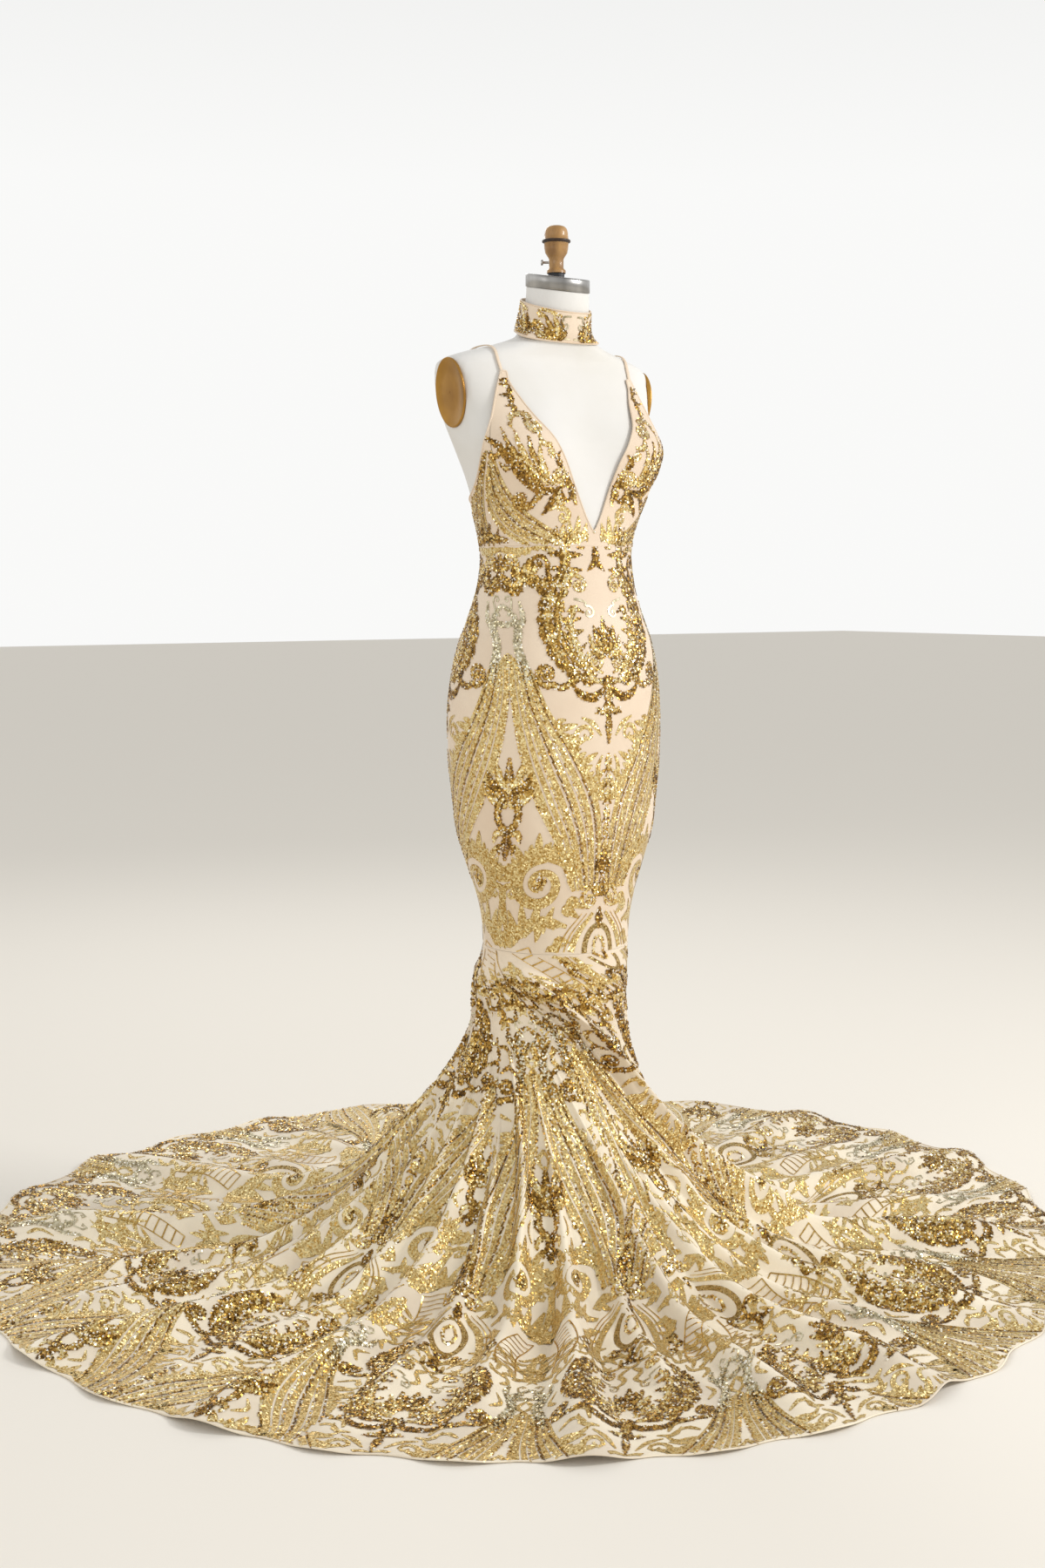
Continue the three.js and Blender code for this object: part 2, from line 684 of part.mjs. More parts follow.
// Smooth middle surface of the train. Fall is the height left before the floor, and
// goes on below zero as the cloth runs out along the floor to the hem.
function trainBase(hemAngle, share) {
  const edge = hemRadius(hemAngle);
  const foot = lookRound(FLARE, "floor", hemAngle);
  const hemTop = lookRound(FLARE, "top", hemAngle);
  const knee = bodyRadius(hemAngle, KNEE_Z);
  const stretch = ((edge - knee) / (foot - knee)) ** (1 / FLARE_POWER);
  const lowest = hemTop * (1 - stretch);
  const fall = KNEE_Z - SEAM_GAP / 2 + (lowest - KNEE_Z) * share;
  const swirl = fall > 0 ? (fall / KNEE_Z) ** SWIRL_POWER : 0;
  const angle = hemAngle - lookRound(SWIRL, "turn", hemAngle) * swirl;
  const top = lookRound(FLARE, "top", angle);
  const floor = lookRound(FLARE, "floor", angle);
  const start = bodyRadius(angle, Math.max(fall, BODY[0].z)) - CLOTH;
  const dropped = Math.max(0, (top - fall) / top);
  const radius = start + (floor - start) * dropped ** FLARE_POWER;
  const z = FLOOR_SOFTNESS * Math.log(1 + Math.exp(fall / FLOOR_SOFTNESS));
  const puff = GATHER.depth * bell(angleBetween(angle, GATHER.angle), GATHER.spread)
    * bell(fall - GATHER.z, GATHER.height);
  const out = radius + puff;
  return {
    point: new THREE.Vector3(out * Math.sin(angle * DEGREE), -out * Math.cos(angle * DEGREE), z),
    fall,
    floorShare: Math.min(1, Math.max(0, -fall / -lowest)),
  };
}

// Directions of the cloth at one place: along the row for each degree of hem, down the
// column, and how wide one degree is when measured square to the column.
function clothFrame(surface, hemAngle, share, angleStep, shareStep) {
  const side = surface(hemAngle + angleStep, share).sub(surface(hemAngle - angleStep, share));
  const down = surface(hemAngle, Math.min(1, share + shareStep))
    .sub(surface(hemAngle, Math.max(0, share - shareStep)))
    .normalize();
  const across = new THREE.Vector3().crossVectors(down, side);
  const width = across.length() / (2 * angleStep);
  return { normal: across.normalize(), width };
}

// A fold is never much higher than half its width, so folds shrink where they crowd.
const STEEPEST_FOLD = 1.1;

function foldHeight(hemAngle, fall, floorShare, degreeWidth) {
  const grown = smoothStep((KNEE_Z - fall) / FOLD_GROWS_OVER);
  const laid = smoothStep(1 - fall / 120);
  let sum = 0;
  for (const fold of FOLDS) {
    const across = angleBetween(hemAngle, fold.angle) / fold.half;
    if (Math.abs(across) < 1) {
      const fade = 1 - smoothStep((floorShare - fold.reach + 0.25) / 0.35) * 0.8;
      const wanted = fold.hang * (1 - laid) + fold.floor * laid * fade;
      const height = Math.min(wanted, STEEPEST_FOLD * fold.half * degreeWidth);
      sum += height * 0.5 * (1 + Math.cos(Math.PI * across));
    }
  }
  return (sum - VALLEY_DEPTH * (1 - laid)) * grown;
}

const FRAME_ANGLE_STEP = 0.5;
const FRAME_SHARE_STEP = 0.01;
const SEAM_STEP = 0.1;

function trainPoint(hemAngle, share) {
  const smooth = (angle, place) => trainBase(angle, place).point;
  const { point, fall, floorShare } = trainBase(hemAngle, share);
  const frame = clothFrame(smooth, hemAngle, share, FRAME_ANGLE_STEP, FRAME_SHARE_STEP);
  const height = foldHeight(hemAngle, fall, floorShare, frame.width);
  return point.addScaledVector(frame.normal, height);
}

function trainGore(number) {
  const perGore = TRAIN_COLUMNS / TRAIN_GORES;
  const columnStep = 360 / TRAIN_COLUMNS;
  const first = ((number - 1) * 360) / TRAIN_GORES;
  const angles = steps(first, first + 360 / TRAIN_GORES, perGore);
  const last = angles.length - 1;
  const heightAt = (j) => 1 - j / TRAIN_ROWS;
  const grid = angles.map((middle, i) => steps(0, TRAIN_ROWS, TRAIN_ROWS).map((j) => {
    const share = heightAt(j);
    const wide = clothFrame(trainPoint, middle, share, columnStep / 2, 1 / TRAIN_ROWS / 2);
    const fine = clothFrame(trainPoint, middle, share, SEAM_STEP, FRAME_SHARE_STEP);
    const inward = Number(i === 0) - Number(i === last);
    const angle = middle + (inward * SEAM_GAP) / 2 / fine.width;
    const inner = trainPoint(angle, share);
    const outer = inner.clone().addScaledVector(wide.normal, CLOTH);
    return { inner, outer };
  }));
  const side = (name) => (i, j) => grid[i][j][name];
  const geometry = wall(angles.length, TRAIN_ROWS + 1, side("outer"), side("inner"), false);
  return named(`train_gore_${number}`, geometry, "lace");
}

function gown() {
  const group = new THREE.Group();
  const pairs = {
    bodice_front: bodicePanel(CUP_COLUMNS),
    bodice_back: bodicePanel(steps(90, 180, 90 / COLUMN_DEGREES)),
    strap: strap(),
    skirt_back: skirtPanel(90, 180),
  };
  for (const [name, left] of Object.entries(pairs)) {
    group.add(named(`${name}_left`, left, "lace"), named(`${name}_right`, mirrored(left), "lace"));
  }
  group.add(named("skirt_front", skirtPanel(-90, 90), "lace"), choker());
  for (let number = 1; number <= TRAIN_GORES; number += 1) group.add(trainGore(number));
  return group;
}

function dressForm() {
  const group = new THREE.Group();
  group.add(
    formTorso(),
    armPlate("form_arm_plate_left", 1),
    armPlate("form_arm_plate_right", -1),
    neckCap(),
    knobFoot(),
    knob(),
    thumbScrew(),
    pole(),
    base(),
  );
  return group;
}

const dressed = new THREE.Group();
dressed.add(gown(), dressForm());

export default dressed;
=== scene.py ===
"""An evening gown of sequinned mesh with a circular train, worn by a limbless dress form.

Sizes are millimetres until a mesh is made, +Z is up, and the wearer faces -Y. An angle is
measured round the wearer from the front, and grows towards the wearer's left.
"""

import math

import bpy
import numpy as np
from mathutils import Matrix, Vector


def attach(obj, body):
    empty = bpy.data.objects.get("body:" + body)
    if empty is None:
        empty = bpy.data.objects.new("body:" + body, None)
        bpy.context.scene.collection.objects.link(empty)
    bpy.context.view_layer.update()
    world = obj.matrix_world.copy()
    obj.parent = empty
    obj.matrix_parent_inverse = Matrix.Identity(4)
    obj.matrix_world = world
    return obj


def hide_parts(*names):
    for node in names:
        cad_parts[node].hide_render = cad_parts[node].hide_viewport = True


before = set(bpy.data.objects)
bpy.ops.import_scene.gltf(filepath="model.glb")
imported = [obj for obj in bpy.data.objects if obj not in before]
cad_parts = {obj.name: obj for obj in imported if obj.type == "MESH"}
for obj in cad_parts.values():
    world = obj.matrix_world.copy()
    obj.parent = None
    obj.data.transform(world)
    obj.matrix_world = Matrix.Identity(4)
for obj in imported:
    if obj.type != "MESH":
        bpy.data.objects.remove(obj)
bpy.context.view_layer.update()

METRE = 0.001
SEED = 7

# Camera
CAMERA_PLACE = (-1.881, -2.589, 1.086)
CAMERA_TURN = math.radians(-35.05)
CAMERA_LENS = 44.8
CAMERA_RISE = -0.1278

# Heights and clearances
NECK_TOP_Z = 1566.0
NECK_BASE_Z = 1492.0
NECK_TILT = 0.2
WAIST_Z = 1146.0
KNEE_Z = 500.0
FORM_BOTTOM_Z = 700.0
CLOTH = 1.8
SEAM_GAP = 0.3
FORM_GAP = 1.7
STRAP_GAP = 1.8
SLANT_MOST = 2.5

# Train
HEM_WAVE = 7.0
HEM_WAVES = 30
FLARE_POWER = 2.3
SWIRL_POWER = 2.7
FLOOR_SOFTNESS = 20.0
FOLD_GROWS_OVER = 190.0
VALLEY_DEPTH = 9.0
STEEPEST_FOLD = 1.1
LIE_HEIGHT = 60.0
LAID_BELOW = 120.0
FOLD_FADE = {"before": 0.25, "over": 0.35, "by": 0.8}
TRAIN_GORES = 6

# Cross sections of the dressed body: width to each side, depth to the front and back of a
# centre that is set back by lean, and how square the section is.
BODY_COLUMNS = ("z", "width", "front", "back", "lean", "square")
BODY = (
    (430, 118, 116, 112, 0, 2.0), (500, 120, 117, 112, 0, 2.0), (540, 123, 118, 112, 0, 2.0),
    (580, 133, 121, 116, 0, 2.0), (640, 154, 129, 125, 0, 2.05), (690, 169, 136, 136, 0, 2.1),
    (750, 178, 141, 140, 0, 2.05), (810, 184, 144, 146, 0, 2.05), (870, 185, 145, 147, 0, 2.05),
    (930, 180, 144, 141, 0, 2.05), (990, 166, 137, 127, 0, 2.1), (1040, 147, 125, 112, 0, 2.1),
    (1090, 133, 114, 100, 0, 2.1), (1125, 129, 110, 98, 0, 2.1), (1160, 132, 109, 100, 2, 2.1),
    (1200, 140, 109, 104, 4, 2.15), (1250, 152, 108, 108, 8, 2.2),
    (1300, 170, 108, 110, 14, 2.25), (1345, 187, 98, 110, 20, 2.35),
    (1385, 198, 86, 104, 25, 2.45), (1415, 204, 76, 98, 28, 2.5), (1438, 203, 66, 90, 28, 2.55),
    (1450, 192, 61, 83, 26, 2.5), (1460, 164, 59, 76, 22, 2.4), (1471, 122, 58, 67, 17, 2.3),
    (1482, 88, 57, 60, 11, 2.2), (1492, 69, 55, 56, 5, 2.1), (1504, 63, 53, 54, 1, 2.0),
    (1566, 57, 50, 50, -8, 2.0),
)
BUST = {"angle": 52, "spread": 27, "z": 1300, "above": 60, "below": 90, "gown": 40, "form": 33}

# Top edge of the bodice on one side: angle from the centre front, and height.
NECKLINE = (
    (0, 1170), (6.4, 1187), (13.4, 1218), (20, 1252), (26, 1286), (33, 1318), (42.5, 1346),
    (52, 1376), (60, 1407), (62.8, 1424), (64.8, 1424), (65, 1392), (65.3, 1346), (67.3, 1318),
    (73.8, 1283), (85, 1252), (101, 1229), (135, 1210), (160, 1200), (180, 1197),
)
STRAP = {"angle": 63.8, "width": 6, "bulge": 15, "y": 30, "z": 1375, "front": -7, "back": -1.5}
STRAP_REACH = 260.0
STRAP_ROWS = 60
STRAP_BACK_ANGLE = 142.0

# Angle, height where the skirt starts to flare, and radius where it meets the floor.
FLARE = (
    (-126, 525, 490), (-80, 510, 450), (-36, 450, 410), (0, 410, 385), (30, 395, 375),
    (54, 410, 385), (100, 470, 425), (160, 520, 480), (200, 530, 500),
)

# Angle and distance from the axis to the hem.
HEM = (
    (-160, 950), (-138, 975), (-120, 930), (-98, 888), (-66, 825), (-36, 792), (0, 775),
    (32, 786), (50, 812), (66, 858), (87, 918), (110, 930), (150, 905), (175, 925),
)

# Angle at the hem, and how far the cloth turns round the wearer from the knee to there.
SWIRL = (
    (-150, -22), (-126, -8), (-100, 12), (-70, 36), (-36, 66), (0, 97), (30, 121), (58, 138),
    (90, 108), (120, 60), (150, 14), (180, -18),
)

# Folds of the train: angle at the hem, half width in degrees, height where the cloth hangs
# and where it lies, and how much of the floor the fold crosses.
FOLDS = (
    (-177, 4.5, 12, 22, 0.8), (-165, 4, 9, 15, 0.6), (-153, 5, 16, 32, 1.0),
    (-141, 4, 10, 16, 0.7), (-129, 5.5, 22, 40, 0.9), (-117, 4, 14, 18, 0.6),
    (-105, 4.5, 18, 20, 0.8), (-93, 5, 22, 30, 1.0), (-81, 4.5, 18, 20, 0.6),
    (-69, 5, 24, 34, 1.0), (-57, 4, 18, 22, 0.7), (-45, 4.5, 24, 26, 0.8), (-33, 5, 26, 36, 1.0),
    (-21, 4, 20, 22, 0.7), (-9, 4.5, 24, 26, 0.9), (6, 5, 26, 36, 1.0), (18, 4, 20, 20, 0.7),
    (30, 4.5, 22, 30, 0.9), (42, 4, 20, 22, 0.7), (57, 5.5, 26, 38, 0.9), (72, 4.5, 12, 22, 0.8),
    (87, 5, 12, 28, 1.0), (99, 4, 10, 18, 0.8), (111, 4.5, 12, 26, 1.0), (126, 4.5, 10, 18, 0.7),
    (141, 5, 12, 26, 0.9), (156, 4, 10, 16, 0.7), (168, 4.5, 12, 22, 0.9),
)
GATHER = {"angle": -118, "spread": 26, "z": 448, "height": 42, "depth": 13}
GATHER_FADE = 45.0

# Smaller creases of the train: angle at the hem, half width and height in millimetres
# (below zero for a trough), and the shares of the way from the knee to the hem they cross.
CREASES = (
    (-172, 16, 5, 0.62, 0.93), (-159, 12, 4, 0.55, 0.99), (-147, 15, -4, 0.60, 0.90),
    (-135, 13, 6, 0.30, 0.88), (-123, 14, -6, 0.12, 0.74), (-118, 11, 7, 0.05, 0.52),
    (-111, 12, 6, 0.50, 0.96), (-104, 10, -7, 0.06, 0.48), (-98, 12, 8, 0.04, 0.60),
    (-90, 15, -7, 0.20, 0.82), (-84, 11, 6, 0.10, 0.55), (-79, 12, 5, 0.66, 0.98),
    (-74, 12, -8, 0.05, 0.58), (-66, 10, 8, 0.04, 0.50), (-61, 13, 5, 0.58, 0.92),
    (-54, 12, -7, 0.10, 0.66), (-46, 12, 13, 0.04, 0.66), (-38, 14, -16, 0.05, 0.80),
    (-30, 12, 8, 0.05, 0.55), (-25, 14, 5, 0.62, 0.97), (-16, 14, -17, 0.04, 0.68),
    (-8, 11, 9, 0.04, 0.58), (-2, 14, -5, 0.60, 0.94), (4, 12, -8, 0.06, 0.50),
    (13, 13, 14, 0.03, 0.66), (21, 12, -12, 0.06, 0.72), (27, 13, 6, 0.64, 0.98),
    (32, 13, 15, 0.02, 0.60), (41, 14, -14, 0.03, 0.66), (48, 15, 9, 0.04, 0.50),
    (50, 12, 6, 0.66, 0.95), (58, 18, 30, 0.005, 0.74), (69, 20, -18, 0.02, 0.62),
    (64, 12, 6, 0.70, 0.98), (76, 14, 5, 0.24, 0.80), (84, 15, -5, 0.30, 0.90),
    (93, 12, 5, 0.62, 0.97), (102, 14, 5, 0.20, 0.72), (108, 13, -4, 0.60, 0.95),
    (118, 13, 5, 0.56, 0.90), (124, 14, 4, 0.22, 0.60), (133, 12, 5, 0.62, 0.98),
    (147, 14, -4, 0.56, 0.90), (152, 12, 5, 0.25, 0.62), (163, 12, 5, 0.66, 0.98),
    (174, 14, 4, 0.30, 0.80),
)
CREASE_ENDS = 0.09
CREASE_REACH = 2.5


# Smooth tables

def table_slopes(x, y):
    """Slope at each row of a table: the harmonic mean of its neighbours, and flat at the ends."""
    steep = np.diff(y) / np.diff(x)
    product = steep[:-1] * steep[1:]
    total = steep[:-1] + steep[1:]
    inner = np.where(product > 0, 2 * product / np.where(total == 0, 1, total), 0)
    return np.concatenate([[0.0], inner, [0.0]])


def look_up(x, y, at):
    """Smooth value of a table at one or many places."""
    x = np.asarray(x, float)
    y = np.asarray(y, float)
    slopes = table_slopes(x, y)
    at = np.clip(np.asarray(at, float), x[0], x[-1])
    i = np.clip(np.searchsorted(x, at, side="right") - 1, 0, len(x) - 2)
    span = x[i + 1] - x[i]
    t = (at - x[i]) / span
    low = (2 * t**3 - 3 * t**2 + 1) * y[i] + (t**3 - 2 * t**2 + t) * span * slopes[i]
    high = (3 * t**2 - 2 * t**3) * y[i + 1] + (t**3 - t**2) * span * slopes[i + 1]
    return low + high


def look_round(rows, column, angle):
    """The same for a table of directions, which closes on itself after 360 degrees."""
    x = np.array([row[0] for row in rows], float)
    y = np.array([row[column] for row in rows], float)
    x = np.concatenate([x[-2:] - 360, x, x[:2] + 360])
    y = np.concatenate([y[-2:], y, y[:2]])
    return look_up(x, y, x[2] + np.mod(np.asarray(angle, float) - x[2], 360))


def smooth_step(x):
    t = np.clip(x, 0, 1)
    return t * t * (3 - 2 * t)


def bell(x, spread):
    return np.exp(-((x / spread) ** 2))


def angle_between(a, b):
    return np.mod(np.asarray(a, float) - b + 540, 360) - 180


# The dressed body

def section(column, z):
    x = [row[0] for row in BODY]
    y = [row[BODY_COLUMNS.index(column)] for row in BODY]
    return look_up(x, y, z)


def body_radius(angle, z, bust="gown"):
    side = np.abs(np.sin(np.radians(angle)))
    ahead = np.cos(np.radians(angle))
    depth = np.where(ahead > 0, section("front", z), section("back", z))
    square = section("square", z)
    plain = (side / section("width", z)) ** square + (np.abs(ahead) / depth) ** square
    rise = np.asarray(z, float) - BUST["z"]
    height = bell(rise, np.where(rise > 0, BUST["above"], BUST["below"]))
    swell = sum(bell(angle_between(angle, s * BUST["angle"]), BUST["spread"]) for s in (1, -1))
    return plain ** (-1 / square) + BUST[bust] * height * swell


def slant(angle, z, bust):
    """Radial distance that one millimetre square to the surface takes up."""
    aside = body_radius(angle + 0.5, z, bust) - body_radius(angle - 0.5, z, bust)
    turn = aside / (np.radians(1) * body_radius(angle, z, bust))
    growth = body_radius(angle, z + 2, bust) - body_radius(angle, z - 2, bust)
    leaning = (section("lean", z + 2) - section("lean", z - 2)) * np.cos(np.radians(angle))
    return np.minimum(SLANT_MOST, np.sqrt(1 + turn**2 + ((growth - leaning) / 4) ** 2))


def body_point(angle, z, inset=0.0, bust="gown"):
    angle, z = np.broadcast_arrays(np.asarray(angle, float), np.asarray(z, float))
    radius = body_radius(angle, z, bust) - inset * slant(angle, z, bust)
    x = radius * np.sin(np.radians(angle))
    y = section("lean", z) - radius * np.cos(np.radians(angle))
    return np.stack([x, y, z], axis=-1)


def neckline(angle):
    rows = np.array(NECKLINE, float)
    return look_up(rows[:, 0], rows[:, 1], np.abs(angle_between(angle, 0)))


def form_point(angle, z, inset):
    """A point of the dress form, whose neck leans forward."""
    point = body_point(angle, z, inset, "form")
    share = smooth_step((point[..., 2] - NECK_BASE_Z) / (NECK_TOP_Z - NECK_BASE_Z))
    point[..., 2] += NECK_TILT * share * (point[..., 1] - section("lean", z))
    return point


# The train

def train_base(hem_angle, share):
    """Smooth middle surface of the train, from the knee (share 0) to the hem (share 1)."""
    hem_angle, share = np.broadcast_arrays(np.asarray(hem_angle, float), np.asarray(share, float))
    edge = look_round(HEM, 1, hem_angle) + HEM_WAVE * np.sin(np.radians(HEM_WAVES * hem_angle))
    foot = look_round(FLARE, 2, hem_angle)
    knee = body_radius(hem_angle, KNEE_Z)
    stretch = ((edge - knee) / (foot - knee)) ** (1 / FLARE_POWER)
    lowest = look_round(FLARE, 1, hem_angle) * (1 - stretch)
    fall = KNEE_Z - SEAM_GAP / 2 + (lowest - KNEE_Z) * share
    swirl = (np.maximum(fall, 0) / KNEE_Z) ** SWIRL_POWER
    angle = hem_angle - look_round(SWIRL, 1, hem_angle) * swirl
    top = look_round(FLARE, 1, angle)
    floor = look_round(FLARE, 2, angle)
    start = body_radius(angle, np.maximum(fall, BODY[0][0])) - CLOTH
    dropped = np.maximum(0, (top - fall) / top)
    radius = start + (floor - start) * dropped**FLARE_POWER
    z = FLOOR_SOFTNESS * np.log1p(np.exp(fall / FLOOR_SOFTNESS))
    puff = GATHER["depth"] * bell(angle_between(angle, GATHER["angle"]), GATHER["spread"])
    puff = puff * smooth_step((KNEE_Z - fall) / GATHER_FADE)
    radius = radius + puff * bell(fall - GATHER["z"], GATHER["height"])
    turn = np.radians(angle)
    point = np.stack([radius * np.sin(turn), -radius * np.cos(turn), z], axis=-1)
    return point, fall, np.clip(fall / lowest, 0, 1)


def unit(vectors):
    return vectors / np.maximum(np.linalg.norm(vectors, axis=-1, keepdims=True), 1e-9)


def fold_height(hem_angle, fall, floor_share, degree_width):
    """Height of the long folds, which grow below the knee and sink where the cloth lies."""
    grown = smooth_step((KNEE_Z - fall) / FOLD_GROWS_OVER)
    laid = smooth_step(1 - fall / LAID_BELOW)
    total = np.zeros_like(fall)
    for angle, half, hang, lies, reach in FOLDS:
        across = angle_between(hem_angle, angle) / half
        faded = smooth_step((floor_share - reach + FOLD_FADE["before"]) / FOLD_FADE["over"])
        fade = 1 - faded * FOLD_FADE["by"]
        wanted = hang * (1 - laid) + lies * laid * fade
        height = np.minimum(wanted, STEEPEST_FOLD * half * degree_width)
        total += np.where(np.abs(across) < 1, height * 0.5 * (1 + np.cos(np.pi * across)), 0)
    return (total - VALLEY_DEPTH * (1 - laid)) * grown


def crease_height(hem_angle, share, degree_width):
    """Ridges and troughs of fixed width that fade out at both ends."""
    total = np.zeros_like(degree_width)
    for angle, half, height, start, end in CREASES:
        across = angle_between(hem_angle, angle) * degree_width / half
        ends = smooth_step((share - start) / CREASE_ENDS) * smooth_step((end - share) / CREASE_ENDS)
        total += height * np.where(np.abs(across) < CREASE_REACH, bell(across, 1), 0) * ends
    return total


def train_point(hem_angle, share):
    """A point of the train's outside: the smooth surface raised by its folds and creases."""
    point, fall, floor_share = train_base(hem_angle, share)
    side = train_base(hem_angle + 0.5, share)[0] - train_base(hem_angle - 0.5, share)[0]
    low = train_base(hem_angle, np.minimum(share + 0.01, 1))[0]
    high = train_base(hem_angle, np.maximum(share - 0.01, 0))[0]
    across = np.cross(unit(low - high), side)
    width = np.linalg.norm(across, axis=-1)
    height = fold_height(hem_angle, fall, floor_share, width) + CLOTH
    height = height + crease_height(hem_angle, share, width)
    height = np.maximum(height, CLOTH * smooth_step(1 - point[..., 2] / LIE_HEIGHT))
    return point + unit(across) * height[..., None]


# Making meshes

def new_mesh(name, points, faces_flat, sides, materials, indices=None, smooth=True):
    """A mesh of faces with equal sides, from points in millimetres."""
    mesh = bpy.data.meshes.new(name)
    points = np.asarray(points, float).reshape(-1, 3) * METRE
    faces_flat = np.asarray(faces_flat, np.int32).ravel()
    count = len(faces_flat) // sides
    mesh.vertices.add(len(points))
    mesh.vertices.foreach_set("co", points.astype(np.float32).ravel())
    mesh.loops.add(len(faces_flat))
    mesh.loops.foreach_set("vertex_index", faces_flat)
    mesh.polygons.add(count)
    mesh.polygons.foreach_set("loop_start", np.arange(0, count * sides, sides, dtype=np.int32))
    mesh.polygons.foreach_set("loop_total", np.full(count, sides, np.int32))
    for material in materials:
        mesh.materials.append(material)
    if indices is not None:
        mesh.polygons.foreach_set("material_index", np.asarray(indices, np.int32))
    mesh.update(calc_edges=True)
    mesh.validate()
    mesh.polygons.foreach_set("use_smooth", np.full(len(mesh.polygons), smooth))
    piece = bpy.data.objects.new(name, mesh)
    bpy.context.scene.collection.objects.link(piece)
    return piece


def grid_faces(rows, columns, closed):
    spans = columns if closed else columns - 1
    i, j = np.meshgrid(np.arange(spans), np.arange(rows - 1))
    a = j * columns + i
    b = j * columns + (i + 1) % columns
    return np.stack([a, b, b + columns, a + columns], axis=-1).reshape(-1, 4)


def grid_mesh(name, points, closed, material, flip=False):
    """A surface through a grid of points, rows by columns."""
    rows, columns = points.shape[:2]
    faces = grid_faces(rows, columns, closed)
    if flip:
        faces = faces[:, ::-1]
    return new_mesh(name, points, faces, 4, [material])


def finish_piece(piece, slot_name, *nodes):
    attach(piece, "root")
    if nodes:
        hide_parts(*nodes)
    return piece


# Materials

def colour(red, green, blue):
    """Linear colour from one given as a screen shows it, 0 to 255."""
    values = np.array([red, green, blue]) / 255
    linear = np.where(values <= 0.04045, values / 12.92, ((values + 0.055) / 1.055) ** 2.4)
    return (*linear, 1.0)


def new_material(name, base, roughness=0.5, metallic=0.0, **inputs):
    material = bpy.data.materials.new(name)
    material.use_nodes = True
    shader = material.node_tree.nodes["Principled BSDF"]
    shader.inputs["Base Color"].default_value = base
    shader.inputs["Roughness"].default_value = roughness
    shader.inputs["Metallic"].default_value = metallic
    for key, value in inputs.items():
        shader.inputs[key.replace("_", " ")].default_value = value
    return material


def add_node(material, kind, **settings):
    node = material.node_tree.nodes.new(kind)
    for key, value in settings.items():
        if key in node.inputs:
            node.inputs[key].default_value = value
        else:
            setattr(node, key, value)
    return node


def link(material, source, output, target, socket):
    material.node_tree.links.new(source.outputs[output], target.inputs[socket])


def shader_of(material):
    return material.node_tree.nodes["Principled BSDF"]


def soft_ramp(material, texture, output, first, second, low, high):
    """Runs from one colour to another as a texture's value goes from low to high."""
    ramp = add_node(material, "ShaderNodeValToRGB")
    for element, position, value in zip(ramp.color_ramp.elements, (low, high), (first, second)):
        element.position = position
        element.color = value
    link(material, texture, output, ramp, "Fac")
    return ramp


def mottled(material, first, second, scale, low=0.35, high=0.65, stretch=(1, 1, 1)):
    """Varies the colour softly between two, in the piece's own space."""
    place = add_node(material, "ShaderNodeTexCoord")
    mapping = add_node(material, "ShaderNodeMapping", Scale=stretch)
    noise = add_node(material, "ShaderNodeTexNoise", Scale=scale, Detail=4.0)
    link(material, place, "Object", mapping, "Vector")
    link(material, mapping, "Vector", noise, "Vector")
    ramp = soft_ramp(material, noise, "Fac", first, second, low, high)
    link(material, ramp, "Color", shader_of(material), "Base Color")
    return mapping


def bumped(material, texture, output, strength, distance):
    bump = add_node(material, "ShaderNodeBump", Strength=strength, Distance=distance)
    link(material, texture, output, bump, "Height")
    link(material, bump, "Normal", shader_of(material), "Normal")


def woven(material, source, output):
    """The small net of the gown's mesh."""
    weave = add_node(material, "ShaderNodeTexVoronoi", Scale=900.0, feature="DISTANCE_TO_EDGE")
    link(material, source, output, weave, "Vector")
    bumped(material, weave, "Distance", 0.25, 0.0004)


def grained(material, mapping, scale, detail, strength, distance):
    grain = add_node(material, "ShaderNodeTexNoise", Scale=scale, Detail=detail)
    link(material, mapping, "Vector", grain, "Vector")
    bumped(material, grain, "Fac", strength, distance)


def cloth_material(name, light, dark):
    """Fine stretch mesh over a matt lining: a soft mottle and a small weave."""
    material = new_material(name, light, roughness=0.62, Sheen_Weight=0.25)
    woven(material, mottled(material, dark, light, scale=9.0, low=0.3, high=0.6), "Vector")
    return material


def linen_material():
    material = new_material("form_linen", colour(228, 226, 221), roughness=0.8)
    mapping = mottled(material, colour(225, 222, 216), colour(232, 230, 227), scale=5.0)
    grained(material, mapping, 700.0, 2.0, 0.15, 0.0005)
    return material


def sparkle_normal(material, cell, strength):
    """Turns the surface a little its own way in each small cell, as loose sequins lie."""
    place = add_node(material, "ShaderNodeTexCoord")
    cells = add_node(material, "ShaderNodeTexVoronoi", Scale=1 / cell)
    centre = add_node(material, "ShaderNodeVectorMath", operation="SUBTRACT")
    centre.inputs[1].default_value = (0.5, 0.5, 0.5)
    spread = add_node(material, "ShaderNodeVectorMath", operation="SCALE")
    spread.inputs["Scale"].default_value = strength
    geometry = add_node(material, "ShaderNodeNewGeometry")
    total = add_node(material, "ShaderNodeVectorMath", operation="ADD")
    even = add_node(material, "ShaderNodeVectorMath", operation="NORMALIZE")
    link(material, place, "Object", cells, "Vector")
    link(material, cells, "Color", centre, 0)
    link(material, centre, "Vector", spread, 0)
    link(material, spread, "Vector", total, 0)
    link(material, geometry, "Normal", total, 1)
    link(material, total, "Vector", even, 0)
    link(material, even, "Vector", shader_of(material), "Normal")
    return cells


def glitter_material(name, light, dark):
    """A dense field of tiny sequins: cells of slightly different colour and direction."""
    material = new_material(name, light, roughness=0.32, metallic=0.75)
    cells = sparkle_normal(material, 0.0024, 0.9)
    ramp = soft_ramp(material, cells, "Color", dark, light, 0.2, 0.8)
    link(material, ramp, "Color", shader_of(material), "Base Color")
    return material


